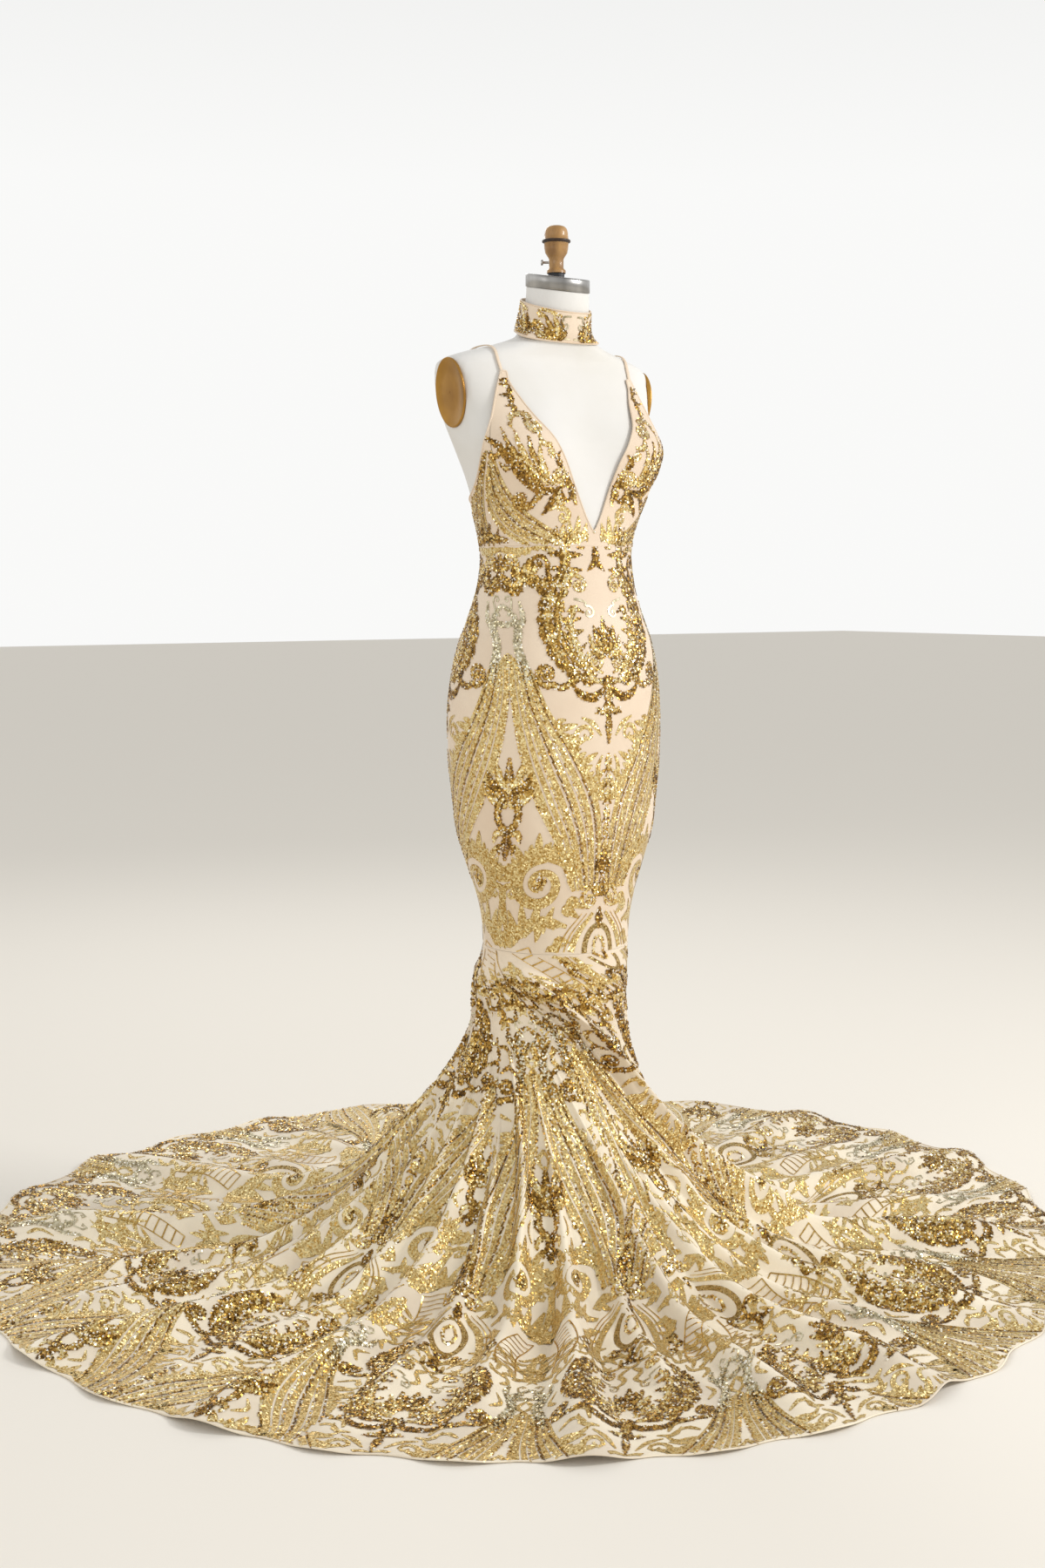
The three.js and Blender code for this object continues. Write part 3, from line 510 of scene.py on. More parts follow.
def sequin_material(name, light, dark, roughness=0.22):
    material = new_material(name, light, roughness=roughness, metallic=0.9)
    mottled(material, dark, light, scale=160.0, low=0.4, high=0.6)
    return material


def painted_glint_material():
    """A sequin with a painted highlight: near-white colour that stands for a glint of light."""
    material = new_material("sequin_painted_glint", colour(255, 252, 240), roughness=0.15, metallic=0.2)
    mottled(material, colour(255, 246, 222), colour(255, 254, 248), scale=160.0)
    return material


# Heights, in metres, between which the gown's ground turns from the train's into the body's.
GROUND_BLEND = 0.25, 0.62


def gown_cloth_material():
    """The gown's ground: warm where it lies on the body, paler and uneven on the train."""
    material = new_material("gown_cloth", colour(241, 220, 200), roughness=0.62, Sheen_Weight=0.25)
    place = add_node(material, "ShaderNodeTexCoord")
    noise = add_node(material, "ShaderNodeTexNoise", Scale=7.0, Detail=4.0)
    link(material, place, "Object", noise, "Vector")
    dark, light = colour(226, 203, 177), colour(236, 217, 193)
    body = soft_ramp(material, noise, "Fac", dark, light, 0.3, 0.6)
    dark, light = colour(222, 207, 184), colour(247, 234, 209)
    train = soft_ramp(material, noise, "Fac", dark, light, 0.36, 0.56)
    split = add_node(material, "ShaderNodeSeparateXYZ")
    height = add_node(material, "ShaderNodeMapRange")
    height.inputs["From Min"].default_value, height.inputs["From Max"].default_value = GROUND_BLEND
    mix = add_node(material, "ShaderNodeMix", data_type="RGBA")
    link(material, place, "Object", split, "Vector")
    link(material, split, "Z", height, "Value")
    link(material, height, "Result", mix, 0)
    link(material, train, "Color", mix, 6)
    link(material, body, "Color", mix, 7)
    material.node_tree.links.new(mix.outputs[2], shader_of(material).inputs["Base Color"])
    woven(material, place, "Object")
    return material


def plate_material():
    """Gold-brown enamel, mottled softly between a darker and a lighter tone."""
    material = new_material("arm_plate", colour(170, 120, 40), roughness=0.3, metallic=0.55)
    mottled(material, colour(132, 88, 26), colour(206, 156, 70), scale=9.0, low=0.3, high=0.7)
    return material


def brushed_material(name, base, dark):
    material = new_material(name, base, roughness=0.36, metallic=1.0)
    mapping = mottled(material, dark, base, scale=10.0, stretch=(1, 1, 0.05))
    grained(material, mapping, 200.0, 2.0, 0.03, 0.0002)
    return material


def wood_material():
    material = new_material("knob_wood", colour(170, 126, 70), roughness=0.42, Coat_Weight=0.3)
    dark, light = colour(138, 98, 50), colour(186, 142, 84)
    mapping = mottled(material, dark, light, scale=55.0, stretch=(1, 1, 0.25))
    grained(material, mapping, 220.0, 3.0, 0.1, 0.0003)
    return material


def iron_material(name, base):
    material = new_material(name, base, roughness=0.42, metallic=0.2)
    mottled(material, colour(24, 24, 26), base, scale=30.0)
    return material


# Light and dark colour of each kind of sequin and glitter.
SEQUIN_COLOURS = {
    "sequin_dark": ((178, 134, 60), (108, 76, 27)),
    "sequin_gold": ((228, 192, 112), (184, 142, 64)),
    "sequin_bright": ((255, 240, 190), (238, 210, 140)),
    "sequin_silver": ((240, 230, 200), (186, 172, 134)),
}
GLITTER_COLOURS = {
    "glitter_gold": ((252, 232, 172), (180, 140, 66)),
    "glitter_silver": ((228, 220, 192), (150, 140, 108)),
}


def make_materials():
    return {
        **{key: sequin_material(key, colour(*light), colour(*dark))
           for key, (light, dark) in SEQUIN_COLOURS.items()},
        "sequin_painted_glint": painted_glint_material(),
        **{key: glitter_material(key, colour(*light), colour(*dark))
           for key, (light, dark) in GLITTER_COLOURS.items()},
        "cloth": gown_cloth_material(),
        "binding": cloth_material("binding", colour(232, 212, 188), colour(220, 196, 168)),
        "linen": linen_material(),
        "plate": plate_material(),
        "steel": brushed_material("neck_steel", colour(226, 224, 220), colour(126, 124, 122)),
        "pole": brushed_material("pole_steel", colour(190, 190, 192), colour(140, 140, 144)),
        "wood": wood_material(),
        "iron": iron_material("stand_iron", colour(44, 44, 47)),
        "ring": iron_material("knob_ring", colour(74, 50, 30)),
    }


MATERIALS = make_materials()


# Shells of the gown

BODY_COLUMN_STEP = 1.5
SKIRT_ROWS = 110
BODICE_ROWS = 48
TRAIN_COLUMNS = 720
TRAIN_ROWS = 116


def skirt_grid():
    angles = np.arange(-180, 180, BODY_COLUMN_STEP)
    heights = np.linspace(WAIST_Z, KNEE_Z, SKIRT_ROWS)
    return body_point(angles[None, :], heights[:, None])


def bodice_angles():
    """Directions of the bodice's columns, closer together at the cup tips."""
    fine = np.arange(60, 70, 0.25)
    side = np.union1d(np.arange(0, 180.1, BODY_COLUMN_STEP), fine)
    return np.union1d(-side[1:], side)[1:]


def bodice_grid():
    share = np.linspace(0, 1, BODICE_ROWS)[:, None]
    heights = WAIST_Z + (neckline(BODICE_ANGLES)[None, :] - WAIST_Z) * share
    return body_point(np.broadcast_to(BODICE_ANGLES, heights.shape), heights)


def train_grid():
    angles = np.arange(TRAIN_COLUMNS) * 360 / TRAIN_COLUMNS
    return train_point(angles[None, :], np.linspace(0, 1, TRAIN_ROWS)[:, None])


BODICE_ANGLES = bodice_angles()
TRAIN = train_grid()


def make_shells():
    skirt = grid_mesh("skirt_cloth", skirt_grid(), True, MATERIALS["cloth"], flip=True)
    finish_piece(skirt, "gown_lace", "skirt_front", "skirt_back_left", "skirt_back_right")
    bodice = grid_mesh("bodice_cloth", bodice_grid(), True, MATERIALS["cloth"])
    sides = [f"bodice_{part}_{side}" for part in ("front", "back") for side in ("left", "right")]
    finish_piece(bodice, "gown_lace", *sides)
    train = grid_mesh("train_cloth", TRAIN, True, MATERIALS["cloth"], flip=True)
    gores = [f"train_gore_{n}" for n in range(1, TRAIN_GORES + 1)]
    finish_piece(train, "gown_lace", *gores)


# Ornament of the cloth. One repeat is drawn on its right half, with x across from the axis
# and y down the cloth, and the other halves are its mirror images. It is a free baroque
# pattern of leafy scrolls, sweeping bands and drops.

HALF_REPEAT = 165.0
REPEAT = 700.0
HALF_AREA = (0, 0), (HALF_REPEAT, REPEAT)
LINE_STEP = 4.0
# The last tone is a painted highlight: near-white sequins that stand for glints of light.
DARK, GOLD, BRIGHT, SILVER, PAINTED_GLINT = range(5)


def smooth_line(points, step=LINE_STEP):
    """A smooth line through a few points, cut into steps of even length."""
    p = np.array(points, float)
    p = np.vstack([2 * p[0] - p[1], p, 2 * p[-1] - p[-2]])
    t = np.linspace(0, 1, 16, endpoint=False)[:, None]
    spans = []
    for a, b, c, d in zip(p[:-3], p[1:-2], p[2:-1], p[3:]):
        cubic = (3 * b - a - 3 * c + d) * t**3
        spans.append(0.5 * (2 * b + (c - a) * t + (2 * a - 5 * b + 4 * c - d) * t**2 + cubic))
    return even_steps(np.vstack([*spans, p[-2]]), step)


def line_at(line, known, wanted):
    """Points of a line at wanted distances, from the known distance of each of its own."""
    return np.stack([np.interp(wanted, known, line[:, k]) for k in (0, 1)], axis=1)


def even_steps(line, step):
    length = np.concatenate([[0], np.cumsum(np.linalg.norm(np.diff(line, axis=0), axis=1))])
    return line_at(line, length, np.linspace(0, length[-1], max(3, int(length[-1] / step) + 1)))


def stroke(kind, points, widths, tone=GOLD):
    """One line of ornament. Its kind is sequin, glitter or bead, and its widths run along it."""
    line = smooth_line(points)
    share = np.linspace(0, 1, len(line))
    width = np.interp(share, np.linspace(0, 1, len(widths)), widths)
    return {"kind": kind, "line": line, "width": width, "tone": tone}


def spiral_points(centre, radius, turns, start, way, end_radius=0.2):
    """Points from the outside of a spiral to its eye. Start is in degrees from +x to +y."""
    share = np.linspace(0, 1, int(turns * 10) + 2)
    size = radius * (1 - (1 - end_radius) * share**0.85)
    angle = np.radians(start) + way * 2 * math.pi * turns * share
    return np.stack([centre[0] + size * np.cos(angle), centre[1] + size * np.sin(angle)], axis=1)


def scroll(kind, path, centre, radius, turns, start, way, widths, tone=GOLD):
    """A curve that runs into a spiral with a round eye."""
    coil = spiral_points(centre, radius, turns, start, way)
    points = np.vstack([np.array(path, float).reshape(-1, 2), coil])
    eye = stroke(kind, [coil[-1], np.array(centre, float)], [widths[-1] * 1.6] * 2, tone)
    return [stroke(kind, points, widths, tone), eye]


def comma(kind, base, heading, length, width, bend=0.25, tone=GOLD):
    """One curved leaf. Heading is in degrees from +x to +y."""
    base = np.array(base, float)
    along = np.array([math.cos(math.radians(heading)), math.sin(math.radians(heading))])
    across = np.array([-along[1], along[0]])
    middle = base + along * length * 0.55 + across * bend * length * 0.5
    tip = base + along * length - across * bend * length * 0.35
    return stroke(kind, [base, middle, tip], [width * s for s in (0.4, 0.95, 1, 0.7, 0.2)], tone)


def spray(kind, base, heading, length, lobes, width, spread=140, tones=(GOLD, BRIGHT)):
    """A fan of leaves from one point, longest in the middle."""
    leaves = []
    for k in range(lobes):
        share = 0 if lobes == 1 else 2 * k / (lobes - 1) - 1
        reach = length * (1 - 0.4 * abs(share) ** 1.5)
        turn = heading + share * spread / 2
        leaves.append(comma(kind, base, turn, reach, width, 0.4 * share, tones[k % len(tones)]))
    return leaves


def leafy(kind, points, widths, leaves, length, side=1, tone=GOLD, leaf_tone=DARK):
    """A stem with curved leaves along one side."""
    stem = stroke(kind, points, widths, tone)
    line = stem["line"]
    made = []
    for share in np.linspace(0.1, 0.88, leaves):
        i = int(share * (len(line) - 2))
        along = line[i + 1] - line[i]
        heading = math.degrees(math.atan2(along[1], along[0])) - side * 26
        size = length * (0.75 + 0.5 * math.sin(math.pi * share))
        made.append(comma(kind, line[i], heading, size * 1.1, size * 0.46, 0.9 * side, leaf_tone))
        heading += side * 66
        made.append(comma(kind, line[i], heading, size * 0.55, size * 0.32, -0.5 * side, tone))
    return [*made, stem]


def fan(first, last, bands):
    """Bands that sweep between two guide lines: share across, width, kind and tone of each."""
    a = smooth_line(first)
    b = smooth_line(last)
    share = np.linspace(0, 1, max(len(a), len(b)))
    a, b = (line_at(guide, np.linspace(0, 1, len(guide)), share) for guide in (a, b))
    spread = np.linalg.norm(b - a, axis=1)
    made = []
    for across, width, kind, tone in bands:
        breadth = np.maximum(width * spread, 1.5) if kind == "glitter" else width + 0 * spread
        made.append({"kind": kind, "line": a + (b - a) * across, "width": breadth, "tone": tone})
    return made


def ring(kind, centre, across, down, width, tone=GOLD):
    turn = np.linspace(0, 2 * math.pi, 17)
    points = np.stack([centre[0] + across * np.sin(turn), centre[1] - down * np.cos(turn)], axis=1)
    return stroke(kind, points, [width, width], tone)


FAN_BANDS = (
    (0.04, 0.10, "glitter", GOLD), (0.12, 2.6, "sequin", DARK),
    (0.23, 0.10, "glitter", GOLD), (0.31, 2.6, "sequin", BRIGHT),
    (0.42, 0.10, "glitter", GOLD), (0.50, 2.6, "sequin", DARK),
    (0.61, 0.10, "glitter", GOLD), (0.69, 2.6, "sequin", BRIGHT),
    (0.79, 0.09, "glitter", GOLD),
    (0.94, 0.13, "glitter", GOLD), (1.03, 3.0, "sequin", BRIGHT),
)


def lyre():
    """The chief motif: a leafy lyre round two spirals, on a foot with a pendant."""
    outer = [(4, 214), (30, 212), (62, 198), (88, 164), (96, 124), (86, 84), (64, 46)]
    middle = [(24, 204), (56, 184), (76, 150), (80, 116), (70, 84), (58, 62)]
    inner = [(12, 200), (38, 186), (54, 156), (58, 124), (46, 96)]
    made = leafy("sequin", outer, (7, 12, 17, 18, 17, 14, 7), 9, 26, side=1)
    made += leafy("sequin", middle, (4, 10, 12, 11, 8, 3), 6, 24, -1, GOLD, leaf_tone=BRIGHT)
    made += leafy("sequin", inner, (4, 9, 12, 10, 5), 5, 22, 1, BRIGHT, leaf_tone=GOLD)
    made += scroll("sequin", [(4, 216), (30, 210)], (24, 184), 20, 1.5, 60, -1, (9, 8, 5), BRIGHT)
    made += scroll("sequin", [(52, 206), (80, 222)], (106, 202), 19, 1.4, 120, -1, (12, 10, 6))
    made += scroll("sequin", [(62, 60), (44, 46)], (36, 62), 13, 1.3, -100, -1, (8, 7, 4), BRIGHT)
    made += [stroke("sequin", [(2, 222), (26, 238), (50, 234), (68, 216)], (6, 15, 13, 3), DARK)]
    made += spray("sequin", (0, 172), -90, 54, 7, 13, 150, (GOLD, BRIGHT, GOLD))
    made += spray("sequin", (0, 150), -90, 38, 3, 11, 60, (DARK, GOLD))
    made += [stroke("sequin", [(0, 216), (0, 246)], (24, 14), GOLD)]
    made += [comma("sequin", (3, 240), 55, 32, 12, 0.5, DARK)]
    made += [comma("sequin", (3, 252), 20, 20, 9, 0.5, BRIGHT)]
    made += [stroke("sequin", [(0, 258), (0, 280), (0, 310)], (5, 14, 4), GOLD)]
    made += scroll("bead", [(46, 84), (26, 90)], (24, 106), 12, 1.3, -60, -1, (3.5, 2.6), SILVER)
    return made


def waist_chain():
    """Leaves that climb beside the plain centre of the waist."""
    made = []
    for y in (64, 40, 16, -8):
        made += [comma("sequin", (50, y), -118, 34, 13, 0.7, GOLD)]
        made += [comma("sequin", (60, y - 4), -60, 32, 12, -0.7, DARK)]
        made += [comma("sequin", (54, y + 2), -90, 26, 9, 0.2, BRIGHT)]
    return made


def garland():
    """A line of curls that runs round the side below the waist."""
    swag = [(60, 44), (86, 62), (112, 50), (138, 62), (165, 50)]
    made = leafy("sequin", swag, (9, 15, 12, 15, 13), 8, 26)
    made += scroll("sequin", [(80, 60), (84, 42)], (98, 28), 15, 1.3, 170, 1, (9, 7, 4), DARK)
    made += scroll("sequin", [(130, 60), (132, 42)], (147, 28), 15, 1.3, 170, 1, (9, 7, 4), BRIGHT)
    made += spray("sequin", (165, 40), -90, 32, 5, 11, 110, (GOLD, DARK))
    made += spray("sequin", (112, 44), -90, 26, 3, 10, 80, (BRIGHT, GOLD))
    made += leafy("glitter", [(70, 6), (98, 0), (132, 8), (165, 2)], (3, 9, 9, 7), 6, 20)
    return made


def crest():
    """A pale lyre on the second axis, above the sweep of bands."""
    body = [(162, 96), (149, 110), (143, 134), (148, 158), (136, 206)]
    made = [stroke("sequin", body, (6, 12, 14, 15, 17), SILVER)]
    made += [stroke("sequin", [(146, 134), (133, 116), (135, 90)], (11, 10, 3), SILVER)]
    made += [stroke("sequin", [(150, 122), (165, 126)], (9, 10), SILVER)]
    made += scroll("bead", [(158, 112), (149, 98)], (155, 86), 9, 1.1, 130, 1, (3.5, 2.5), SILVER)
    return made


def medallion():
    """A drop of leaves on the second axis, between the bands."""
    made = spray("sequin", (165, 392), -90, 62, 9, 15, 190, (DARK, GOLD, BRIGHT))
    made += spray("sequin", (165, 400), -90, 30, 5, 12, 230, (BRIGHT, GOLD))
    made += [ring("sequin", (165, 420), 17, 26, 12, GOLD)]
    made += [stroke("sequin", [(165, 446), (165, 466), (165, 494)], (6, 19, 4), DARK)]
    made += [comma("sequin", (162, 452), 150, 24, 11, 0.6, BRIGHT)]
    made += [comma("sequin", (163, 470), 130, 18, 9, 0.6, GOLD)]
    return made


def tulip():
    """The wide sweep of bands from the second axis down to the first."""
    first = [(130, 196), (102, 262), (54, 334), (20, 398), (8, 460), (7, 545)]
    last = [(163, 170), (160, 244), (144, 332), (116, 408), (84, 468), (50, 545)]
    made = fan(first, last, FAN_BANDS)
    path = [(30, 372), (50, 346), (62, 322)]
    made += scroll("glitter", path, (42, 298), 20, 1.0, 40, -1, (13, 10, 5))
    for x, y, heading in ((92, 288, -168), (72, 314, -160), (52, 344, -150), (34, 376, -140)):
        made += spray("glitter", (x, y), heading, 36, 3, 12, 80)
    made += spray("glitter", (14, 400), -100, 34, 3, 11, 70)
    made += [stroke("glitter", [(14, 300), (30, 280), (50, 270)], (3, 10, 3))]
    made += [stroke("glitter", [(12, 330), (20, 350), (16, 376)], (3, 9, 3))]
    return made


def axis_chain():
    """Small drops down the first axis, and a flower."""
    made = []
    for y in (330, 356, 382, 410, 438, 464):
        made += [stroke("sequin", [(0, y), (0, y + 10), (0, y + 22)], (4, 14, 3), BRIGHT)]
        made += [stroke("sequin", [(2, y + 20), (8, y + 26)], (5, 3), DARK)]
    made += spray("sequin", (0, 502), -90, 24, 5, 12, 150, (GOLD, BRIGHT))
    made += spray("sequin", (0, 502), 90, 24, 5, 12, 150, (DARK, GOLD))
    return made


def pale_scrolls():
    """Large pale curls between the two axes."""
    widths = (9, 19, 22, 18, 13, 8)
    made = scroll("glitter", [(54, 530), (66, 502), (92, 488)], (104, 534), 46, 1.5, -95, 1, widths)
    sprays = ((60, 508, -165), (72, 496, -135), (90, 486, -112),
              (112, 486, -88), (134, 500, -60), (150, 520, -30))
    for x, y, heading in sprays:
        made += spray("glitter", (x, y), heading, 36, 3, 13, 80)
    made += scroll("glitter", [(156, 616), (163, 574)], (150, 550), 17, 1.1, 20, -1, (8, 13, 6))
    made += leafy("glitter", [(56, 602), (92, 592), (128, 604), (162, 636)], (6, 16, 15, 5), 7, 32)
    made += spray("glitter", (58, 566), 150, 34, 4, 12, 110)
    made += spray("glitter", (104, 596), 70, 34, 4, 12, 120)
    made += spray("sequin", (104, 534), -60, 20, 4, 8, 150, (BRIGHT, GOLD))
    return made


def arch():
    """Spirals, an arch with lines inside it, and a bow on the first axis."""
    made = scroll("sequin", [(2, 548), (20, 540)], (20, 560), 16, 1.3, -60, 1, (8, 6, 5), BRIGHT)
    made += spray("sequin", (0, 552), -90, 30, 5, 12, 110)
    made += leafy("glitter", [(72, 720), (62, 690), (74, 650), (66, 624)], (4, 12, 11, 4), 5, 24)
    made += [stroke("sequin", [(0, 574), (0, 588), (0, 606)], (6, 15, 3), DARK)]
    for offset, kind, width in ((0, "glitter", 11), (11, "bead", 2), (20, "bead", 2)):
        path = [(12 + offset, 582), (42 + offset, 622), (54 + offset, 676), (42 + offset, 722)]
        made += [stroke(kind, path, (width * 0.5, width, width, width * 0.4), GOLD)]
    made += [ring("glitter", (0, 644), 26, 42, 9, GOLD)]
    made += [ring("sequin", (0, 640), 10, 20, 5, BRIGHT)]
    made += scroll("sequin", [(0, 700), (14, 688)], (25, 698), 11, 1.0, -120, 1, (7, 5), GOLD)
    made += [comma("sequin", (2, 702), 74, 40, 12, 0.3, DARK)]
    return made


def ladder():
    """Rungs between two lines, and a leaf, far down the second axis."""
    sides = [
        smooth_line([(116, 636), (102, 668), (96, 704), (104, 750)]),
        smooth_line([(148, 648), (136, 676), (130, 706), (138, 750)]),
    ]
    made = [{"kind": "bead", "line": line, "width": np.full(len(line), 2.2), "tone": GOLD}
            for line in sides]
    for k in range(0, min(len(line) for line in sides), 3):
        made += [stroke("bead", [sides[0][k], sides[1][k]], (1.8, 1.8), GOLD)]
    made += leafy("glitter", [(164, 672), (156, 716), (164, 764)], (5, 14, 4), 3, 22)
    made += leafy("sequin", [(76, 716), (84, 690), (80, 662)], (4, 8, 3), 3, 16, 1, BRIGHT)
    return made


def repeat_strokes(waist=True):
    """Strokes of half a repeat. The garland at the waist isn't repeated on the train."""
    at_waist = [garland, waist_chain] if waist else []
    parts = [crest, tulip, pale_scrolls, ladder, *at_waist, lyre, medallion, axis_chain, arch]
    return [one for part in parts for one in part()]


FILL_STEP = 21.0
FILL_GAP = 8.5


def fill_leaves(strokes, kind, low, high, length, width, tones):
    """Small leaves in the bare places between the strokes, along the nearest of them."""
    lines = np.vstack([one["line"][:-1] for one in strokes])
    heading = np.vstack([np.diff(one["line"], axis=0) for one in strokes])
    reach = np.concatenate([one["width"][:-1] / 2 for one in strokes])
    made = []
    for row, y in enumerate(np.arange(low[1], high[1], FILL_STEP * 0.8)):
        for x in np.arange(low[0] + FILL_STEP * (0.3 + 0.5 * (row % 2)), high[0], FILL_STEP):
            distance = np.linalg.norm(lines - (x, y), axis=1) - reach
            near = np.argmin(distance)
            if distance[near] < FILL_GAP:
                continue
            turn = math.degrees(math.atan2(heading[near][1], heading[near][0]))
            start = np.array([x, y]) - 0.5 * length * unit(heading[near])
            bend = 0.5 if row % 2 else -0.5
            made.append(comma(kind, start, turn, length, width, bend, tones[row % len(tones)]))
    return made


def bodice_strokes():
    """Scrolls on the cups and bands below them, drawn on the wearer's left half."""
    made = fan([(190, -150), (166, -104), (122, -56), (60, -16)],
               [(200, -110), (190, -62), (150, -20), (96, 6)], FAN_BANDS)
    made += fan([(198, -150), (206, -96), (196, -40), (164, 4)],
                [(222, -116), (246, -84), (250, -34), (236, 4)], FAN_BANDS)
    tip = [(128, -206), (130, -226), (127, -244), (129, -264)]
    made += leafy("sequin", tip, (9, 7, 6, 3), 4, 15, -1)
    made += scroll("sequin", [(148, -186), (138, -204), (118, -206)], (108, -188), 15, 1.3, -80, 1,
                   (6, 11, 9, 5), BRIGHT)
    band = [(198, -168), (178, -156), (156, -134), (130, -106), (98, -86), (64, -90)]
    fingers = (
        ((164, -184), (160, -158), (128, -118), (98, -94)),
        ((146, -182), (142, -154), (118, -118), (90, -96)),
        ((126, -172), (124, -148), (106, -116), (82, -96)),
        ((108, -160), (108, -138), (94, -112), (74, -96)),
    )
    for k, finger in enumerate(fingers):
        made += [stroke("sequin", finger, (3, 10, 9, 4), (GOLD, BRIGHT, GOLD, BRIGHT)[k])]
    made += [stroke("sequin", band, (6, 15, 17, 16, 14, 4), DARK)]
    made += [comma("sequin", (66, -88), heading, 26, 11, bend, tone)
             for heading, bend, tone in ((-150, 0.6, GOLD), (140, -0.6, DARK), (100, -0.6, BRIGHT))]
    made += [comma("sequin", (x, y), 20, 24, 9, 0.7, GOLD) for x, y in ((150, -132), (172, -150))]
    made += scroll("sequin", [(98, -160), (82, -146), (68, -130)], (72, -112), 15, 1.4, -90, -1,
                   (4, 8, 9, 5), BRIGHT)
    leaves = ((90, -170, -40), (78, -150, -60), (66, -136, -75), (46, -104, -70), (38, -86, -80))
    for x, y, heading in leaves:
        made += [comma("sequin", (x, y + 12), heading, 24, 10, 0.5, DARK if y > -140 else BRIGHT)]
    made += [stroke("sequin", [(52, -110), (40, -84), (36, -66)], (5, 10, 5), GOLD)]
    made += scroll("sequin", [(98, -84), (116, -60)], (130, -72), 14, 1.4, 150, -1, (12, 10, 5))
    made += [stroke("sequin", [(70, -92), (82, -66), (92, -50)], (4, 12, 5), DARK)]
    made += scroll("glitter", [(84, -56), (70, -62)], (58, -46), 14, 1.2, -60, -1, (6, 9, 5))
    made += spray("glitter", (34, -6), -96, 42, 5, 12, 120)
    made += spray("sequin", (62, -2), -100, 34, 5, 11, 110, (BRIGHT, GOLD))
    made += spray("sequin", (222, -118), -100, 36, 5, 12, 110, (DARK, GOLD, BRIGHT))
    made += leafy("sequin", [(150, -8), (190, -16), (232, -8)], (8, 12, 8), 5, 22, 1)
    for x in (282, 328, 372):
        path = [(x - 28, -6), (x - 22, -36)]
        made += scroll("sequin", path, (x - 4, -40), 16, 1.3, 180, 1, (8, 11, 5))
        made += spray("sequin", (x - 14, -4), -60, 34, 5, 12, 120, (DARK, GOLD, BRIGHT))
    return made


def choker_strokes():
    """Leafy scrolls on the collar, drawn on the wearer's left half."""
    made = []
    for x in (52, 112, 172):
        made += spray("sequin", (x - 22, 50), -62, 44, 7, 11, 130, (GOLD, DARK, BRIGHT))
        high = [(x - 22, 48), (x + 4, 48)]
        low = [(x - 26, 10), (x - 8, 4)]
        made += scroll("sequin", high, (x + 10, 32), 12, 1.3, 90, -1, (9, 7, 4))
        made += scroll("sequin", low, (x + 4, 12), 8, 1.1, -90, 1, (6, 5, 3), BRIGHT)
    made += scroll("bead", [(6, 8), (20, 10)], (15, 24), 10, 1.1, -70, 1, (3, 2.4), SILVER)
    made += scroll("bead", [(4, 46), (16, 46)], (16, 38), 7, 1.1, 70, -1, (3, 2.4), SILVER)
    return made


# Placing the ornament on the cloth

SEQUIN_SPACING = {"body": 2.4, "train": 3.0, "choker": 2.2}
SEQUIN_RADIUS = {"body": 1.55, "train": 2.2, "choker": 1.4}
SEQUIN_SIDES = {"body": 5, "train": 4, "choker": 5}
HONEYCOMB = 0.866
SEQUIN_TILT = 0.30
SEQUIN_TILT_MOST = 0.7
# A random share says what a sequin does: below the first it is a tone darker, above the second
# a tone brighter, and above the third it flashes with a painted highlight of near-white colour.
SHARE_DARKER, SHARE_PLAIN, SHARE_DULL = 0.14, 0.76, 0.93
# Tone of a stroke's edge, which runs in from its outside by this share of its half width.
EDGE_TONE = {DARK: DARK, GOLD: DARK, BRIGHT: GOLD, SILVER: SILVER}
EDGE_DEPTH = 0.45
# The flare darkens towards the knee: a tone turns into the darker one listed for it, nearly
# always at the knee and nowhere further below it than this distance.
DARKER = np.array([DARK, DARK, GOLD, DARK, PAINTED_GLINT])
DARK_BELOW_KNEE = 520.0
# Part of the repeat, a little below the knee, where more leaves lie.
FLARE_LEAVES = (0, 24), (HALF_REPEAT, 190)
SEQUIN_LIFT = 1.0
RIBBON_LIFT = 0.55
BEAD_LIFT = 0.9
WIDE_RIBBON = 7
RIBBON_STEP = {"body": 5.0, "train": 9.0, "choker": 4.0}
CLOTH_BELOW_KNEE = WAIST_Z - KNEE_Z
GORE_STRETCH = (1.0, 0.84, 1.12, 0.9, 1.2, 1.05)
GORE_SLANT = (0.16, -0.2, 0.28, 0.1, -0.24, 0.2)
# Bare cloth along the bound edge, the waist seam and the choker's edges, and where the bodice's
# ornament starts.
BOUND_EDGE = 4.0
SEAM_BARE = 0.5
CHOKER_BARE = 2
BODICE_TOP = -290


def grid_normals(points):
    """Outward directions on a grid whose rows run down and columns to the wearer's left."""
    down = np.gradient(points, axis=0)
    side = np.gradient(points, axis=1)
    return unit(np.cross(down, side))


def make_chart(points, y, top=None):
    """A stretch of cloth to draw on: x is measured round it from its middle column."""
    steps = np.linalg.norm(np.diff(points, axis=1), axis=2)
    x = np.concatenate([np.zeros((len(points), 1)), np.cumsum(steps, axis=1)], axis=1)
    x -= x[:, [points.shape[1] // 2]]
    return {"points": points, "normals": grid_normals(points), "x": x, "y": y, "top": top}


